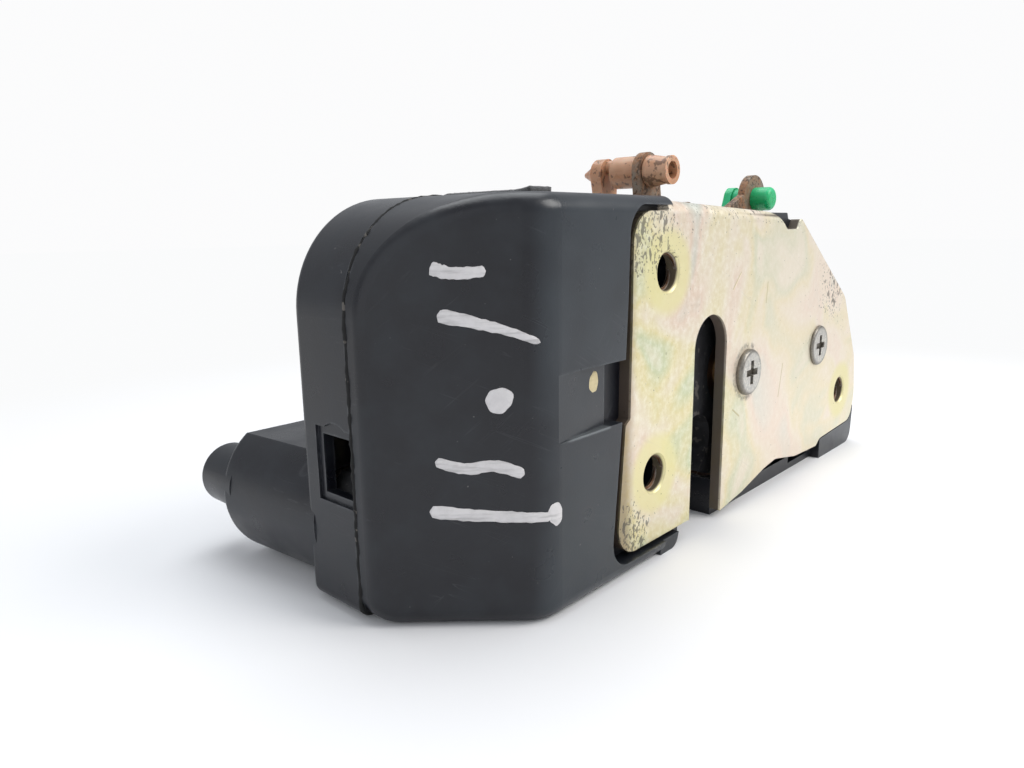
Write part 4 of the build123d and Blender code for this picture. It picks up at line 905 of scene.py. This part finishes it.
class LATCH_OT_drive(bpy.types.Operator):
    """Finish the gears, the motor and the contact strips"""

    bl_idname = "latch.drive"
    bl_label = "Drive"

    def execute(self, context):
        plastic = settings("latch_plastic")
        acetal = nylon("Gear acetal", tuple(plastic.gear), (0.70, 0.66, 0.52), 0.12)
        for node in ("sector_gear", "reduction_gear"):
            dress(node, acetal)
        dress("motor_pinion", brassy("Pinion bronze", (0.62, 0.42, 0.20), 0.35))
        dress("fork_bush", brassy("Bush bronze", (0.50, 0.33, 0.17), 0.45))
        dress("motor_bushes", brassy("Bearing bronze", (0.45, 0.30, 0.16), 0.5))
        dress("contact_strips", brassy("Strip brass", (0.74, 0.58, 0.26), 0.30))
        dress("commutator", brassy("Commutator copper", (0.70, 0.32, 0.16), 0.28))
        dress("armature_winding", coil_copper("Winding copper"))
        dress("motor_end_bell", soft_black("End bell plastic", (0.020, 0.020, 0.021), 1600.0, 0.00005, 0.5))
        dress("motor_magnets", soft_black("Ferrite", (0.030, 0.028, 0.028), 1200.0, 0.0001, 0.8))
        return {"FINISHED"}


class LATCH_OT_clips(bpy.types.Operator):
    """Finish the two rod clips"""

    bl_idname = "latch.clips"
    bl_label = "Rod clips"

    def execute(self, context):
        plastic = settings("latch_plastic")
        dress("release_rod_clip", nylon("Tan nylon", tuple(plastic.tan_clip), (0.60, 0.37, 0.24), 0.44))
        dress("lock_rod_clip", nylon("Green nylon", tuple(plastic.green_clip), (0.03, 0.52, 0.24), 0.12))
        return {"FINISHED"}


class LATCH_OT_felt(bpy.types.Operator):
    """Replace the felt pad with a fibrous one whose front end has lifted"""

    bl_idname = "latch.felt"
    bl_label = "Felt pad"

    def execute(self, context):
        marks = settings("latch_marks")
        low, high = (Vector(corner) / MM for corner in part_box("felt_pad"))
        rows, columns = 44, 14
        lift = marks.felt_lift / MM
        grid = {}
        vertices = []
        for side in (0, 1):
            for i in range(rows + 1):
                for j in range(columns + 1):
                    u, v = i / rows, j / columns
                    edge = min(u, 1 - u) * rows, min(v, 1 - v) * columns
                    fray = noise.noise(Vector((i * 0.9, j * 0.9, side * 3.0)))
                    x = low.x + (high.x - low.x) * u + (0.18 * fray if edge[0] < 0.5 else 0.0)
                    y = low.y + (high.y - low.y) * v + (0.18 * fray if edge[1] < 0.5 else 0.0)
                    rise = lift * max(0.0, (u - 0.8) / 0.2) ** 2
                    thick = (high.z - low.z) * (0.80 if min(edge) < 0.5 else 0.97) - 0.15
                    z = low.z + rise + (thick + 0.10 * fray if side else 0.0)
                    grid[side, i, j] = len(vertices)
                    vertices.append((x, y, z))
        faces = []
        for i in range(rows):
            for j in range(columns):
                quad = [(i, j), (i + 1, j), (i + 1, j + 1), (i, j + 1)]
                faces.append([grid[1, a, b] for a, b in quad])
                faces.append([grid[0, a, b] for a, b in quad[::-1]])
        rim = [(i, 0) for i in range(rows)] + [(rows, j) for j in range(columns)]
        rim += [(i, columns) for i in range(rows, 0, -1)] + [(0, j) for j in range(columns, 0, -1)]
        for a, b in zip(rim, rim[1:] + rim[:1]):
            faces.append([grid[0, a[0], a[1]], grid[0, b[0], b[1]], grid[1, b[0], b[1]], grid[1, a[0], a[1]]])
        made = piece("felt_strip", mesh_of("felt_strip", vertices, faces), felt(marks))
        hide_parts("felt_pad")
        return {"FINISHED"}


class LATCH_OT_threads(bpy.types.Operator):
    """Wind a thread into each fixing hole of the face plate"""

    bl_idname = "latch.threads"
    bl_label = "Hole threads"

    def execute(self, context):
        pitch = settings("latch_marks").thread_pitch / MM
        # Painted shade: the threads get a near-black brown steel so the holes read dark inside.
        dark = bare_steel(settings("latch_metal"), "Thread steel in painted shade", (0.10, 0.075, 0.05), 0.55)
        for label, centre in zip(("top", "low_left", "low_right"), FIXING_HOLES):
            vertices, faces = helix_thread(centre, *THREAD_RADII, THREAD_FRONT_X, THREAD_DEPTH, pitch)
            mesh = mesh_of("thread_" + label, vertices, faces)
            piece("thread_" + label, mesh, dark, smooth=False)
        return {"FINISHED"}


class LATCH_OT_paint(bpy.types.Operator):
    """Lay plain brush marks on the slanted face and a dab beside the band"""

    bl_idname = "latch.paint"
    bl_label = "Paint marks"

    def execute(self, context):
        marks = settings("latch_marks")
        white = paint("White brush paint", tuple(marks.paint), 0.55)
        thick = marks.thickness / MM
        strokes = (
            ("brush_mark_top", [(10.8, 18.4), (14.2, 17.6), (18.8, 17.9)], (2.1, 1.5), 11),
            ("brush_mark_tail", [(11.6, 11.6), (16.4, 10.6), (21.8, 9.2), (26.6, 7.4)], (2.3, 0.9), 12),
            ("brush_mark_low", [(10.6, -10.4), (15.2, -11.6), (19.6, -11.2), (24.0, -12.6)], (1.7, 1.9), 13),
            ("brush_mark_bar", [(9.5, -18.3), (16.0, -19.0), (23.0, -19.4), (28.6, -19.8)], (2.2, 1.5), 14),
        )
        for name, points, widths, seed in strokes:
            vertices, faces = ribbon(points, widths, slant, thick, seed)
            piece(name, mesh_of(name, vertices, faces), white)
        cream = paint("Cream paint", (0.56, 0.47, 0.27), 0.35)
        dabs = (
            ("brush_mark_dot", (20.4, -1.1), (2.15, 2.0), slant, white, 15),
            ("brush_mark_end", (29.2, -19.6), (1.5, 1.9), slant, white, 17),
            ("band_dab", (-39.5, -0.6), (1.35, 1.9), band, cream, 18),
        )
        for name, centre, radii, surface, material, seed in dabs:
            vertices, faces = blob(centre, radii, surface, thick * 1.5, seed)
            piece(name, mesh_of(name, vertices, faces), material)
        return {"FINISHED"}


class LATCH_OT_parting(bpy.types.Operator):
    """Run a ragged dark bead along the parting line: a painted shadow of the gap between the shells"""

    bl_idname = "latch.parting"
    bl_label = "Parting bead"

    def execute(self, context):
        low = Vector((0, END_Y + 0.15, FLOOR_Z + COVER_LIFT + 0.15))
        high = Vector((0, BOX_RIGHT_Y - 0.15, TOP_Z - 0.15))
        corners = (
            (low.y, low.z, 2.0),
            (high.y, low.z, 1.5),
            (high.y, high.z, 1.5),
            (low.y, high.z, TOP_CORNER_R - 0.1),
        )
        path = []
        for index, (y, z, radius) in enumerate(corners):
            sy = 1 if y < -40 else -1
            sz = 1 if z < 0 else -1
            centre = (y + sy * radius, z + sz * radius)
            start = {0: 180, 1: 270, 2: 0, 3: 90}[index]
            for k in range(9):
                a = math.radians(start + 90 * k / 8)
                path.append((centre[0] + radius * math.cos(a), centre[1] + radius * math.sin(a)))
        dense = []
        for a, b in zip(path, path[1:] + path[:1]):
            steps = max(1, int(math.dist(a, b) / 0.7))
            for k in range(steps):
                dense.append((a[0] + (b[0] - a[0]) * k / steps, a[1] + (b[1] - a[1]) * k / steps))
        points = []
        radii = []
        for y, z in dense:
            wobble = noise.noise(Vector((y, z, 4.2)) * 0.45)
            points.append((PARTING_X - 0.3 + 0.34 * wobble, y, z))
            radii.append(0.38 + 0.22 * noise.noise(Vector((y, z, 9.7)) * 0.9))
        vertices, faces = tube_mesh(points, 0.3, 8, True, radii)
        # Painted shadow: the black bead stands for the shaded gap between the two shells.
        material = soft_black("Gap shadow black", (0.006, 0.006, 0.006), 1100.0, 0.0002, 0.9)
        piece("parting_bead", mesh_of("parting_bead", vertices, faces), material)
        return {"FINISHED"}


class LATCH_OT_stage(bpy.types.Operator):
    """Set the floor, the lamps and the camera"""

    bl_idname = "latch.stage"
    bl_label = "Stage"

    def execute(self, context):
        stage = settings("latch_stage")
        size = 3.0
        corners = [(-size, -size), (size, -size), (size, size), (-size, size)]
        mesh = bpy.data.meshes.new("floor")
        mesh.from_pydata([(x, y, FLOOR_Z * MM) for x, y in corners], [], [(0, 1, 2, 3)])
        floor = bpy.data.objects.new("floor", mesh)
        context.scene.collection.objects.link(floor)
        finish = Finish("Floor", 0.9)
        tree = finish.tree
        finish.set(Base_Color=tuple(stage.floor))
        away = vector_calc(tree, "LENGTH", finish.here)
        rays = add(tree, "LightPath").outputs
        seen = most(tree, rays["Is Camera Ray"], rays["Is Glossy Ray"])
        white = add(tree, "Emission", None, {"Color": (0.96, 0.965, 0.97, 1.0), "Strength": 1.0})
        mixer = add(tree, "MixShader", None, None, {1: finish.shader.outputs[0], 2: white.outputs[0]})
        place(mixer, 0, mul(tree, fade(tree, away, 0.10, 0.30), seen))
        tree.links.new(mixer.outputs[0], tree.nodes["Material Output"].inputs["Surface"])
        mesh.materials.append(finish.material)

        world = bpy.data.worlds.new("Sky")
        world.use_nodes = True
        context.scene.world = world
        sky = world.node_tree
        even = sky.nodes["Background"]
        even.inputs["Color"].default_value = (0.92, 0.95, 1.0, 1.0)
        even.inputs["Strength"].default_value = stage.sky
        clear = add(sky, "Background", None, {"Color": (0.97, 0.97, 0.975, 1.0), "Strength": 1.0})
        rays = add(sky, "LightPath").outputs
        sources = {0: rays["Is Camera Ray"], 1: even.outputs[0], 2: clear.outputs[0]}
        mixer = add(sky, "MixShader", None, None, sources)
        sky.links.new(mixer.outputs[0], sky.nodes["World Output"].inputs["Surface"])

        target = Vector((-0.02, 0.0, 0.0))
        lamps = (
            ("window_lamp", (0.42, 0.25, 0.42), 0.36, stage.key, (1.0, 0.98, 0.95)),
            ("top_lamp", (-0.15, 0.10, 0.60), 0.5, stage.key * 0.9, (0.95, 0.98, 1.0)),
            ("fill_lamp", (0.10, -0.60, 0.20), 0.6, stage.key * 0.25, (0.93, 0.96, 1.0)),
        )
        for name, where, wide, power, tint in lamps:
            lamp = bpy.data.lights.new(name, "AREA")
            lamp.size = wide
            lamp.energy = power
            lamp.color = tint
            holder = bpy.data.objects.new(name, lamp)
            holder.location = where
            holder.rotation_euler = (target - Vector(where)).to_track_quat("-Z", "Y").to_euler()
            context.scene.collection.objects.link(holder)

        lens = bpy.data.cameras.new("camera")
        lens.sensor_width = 36.0
        lens.lens = 753.76 * 36.0 / 1024.0
        lens.clip_start = 0.005
        camera = bpy.data.objects.new("camera", lens)
        context.scene.collection.objects.link(camera)
        right = Vector((0.73864, 0.67395, -0.01433))
        down = Vector((0.12602, -0.15894, -0.97921))
        ahead = Vector((-0.66221, 0.72148, -0.20233))
        turn = Matrix((right, -down, -ahead)).transposed().to_4x4()
        camera.matrix_world = Matrix.Translation(Vector((70.775, -135.817, 23.794)) * MM) @ turn
        context.scene.camera = camera
        context.scene.view_settings.view_transform = "Standard"
        return {"FINISHED"}


class LATCH_PT_panel(bpy.types.Panel):
    """Lists the settings and the steps of the dresser"""

    bl_label = "Door latch"
    bl_idname = "LATCH_PT_panel"
    bl_space_type = "VIEW_3D"
    bl_region_type = "UI"
    bl_category = "Latch"

    def draw(self, context):
        for name in GROUPS:
            box = self.layout.box()
            group = getattr(context.scene, name)
            for key in group.__annotations__:
                box.prop(group, key)
        for step in STEPS:
            self.layout.operator(step.bl_idname)


GROUPS = {
    "latch_plastic": LatchPlasticSettings,
    "latch_metal": LatchMetalSettings,
    "latch_marks": LatchMarkSettings,
    "latch_stage": LatchStageSettings,
}
STEPS = (
    LATCH_OT_shells,
    LATCH_OT_plates,
    LATCH_OT_metalwork,
    LATCH_OT_drive,
    LATCH_OT_clips,
    LATCH_OT_felt,
    LATCH_OT_threads,
    LATCH_OT_paint,
    LATCH_OT_parting,
    LATCH_OT_stage,
)


def register():
    for item in (*GROUPS.values(), *STEPS, LATCH_PT_panel):
        bpy.utils.register_class(item)
    for name, group in GROUPS.items():
        setattr(bpy.types.Scene, name, bpy.props.PointerProperty(type=group))


def unregister():
    for name in GROUPS:
        delattr(bpy.types.Scene, name)
    for item in reversed((*GROUPS.values(), *STEPS, LATCH_PT_panel)):
        bpy.utils.unregister_class(item)


def main():
    register()
    for step in STEPS:
        area, name = step.bl_idname.split(".")
        getattr(getattr(bpy.ops, area), name)()


if __name__ == "__main__":
    main()
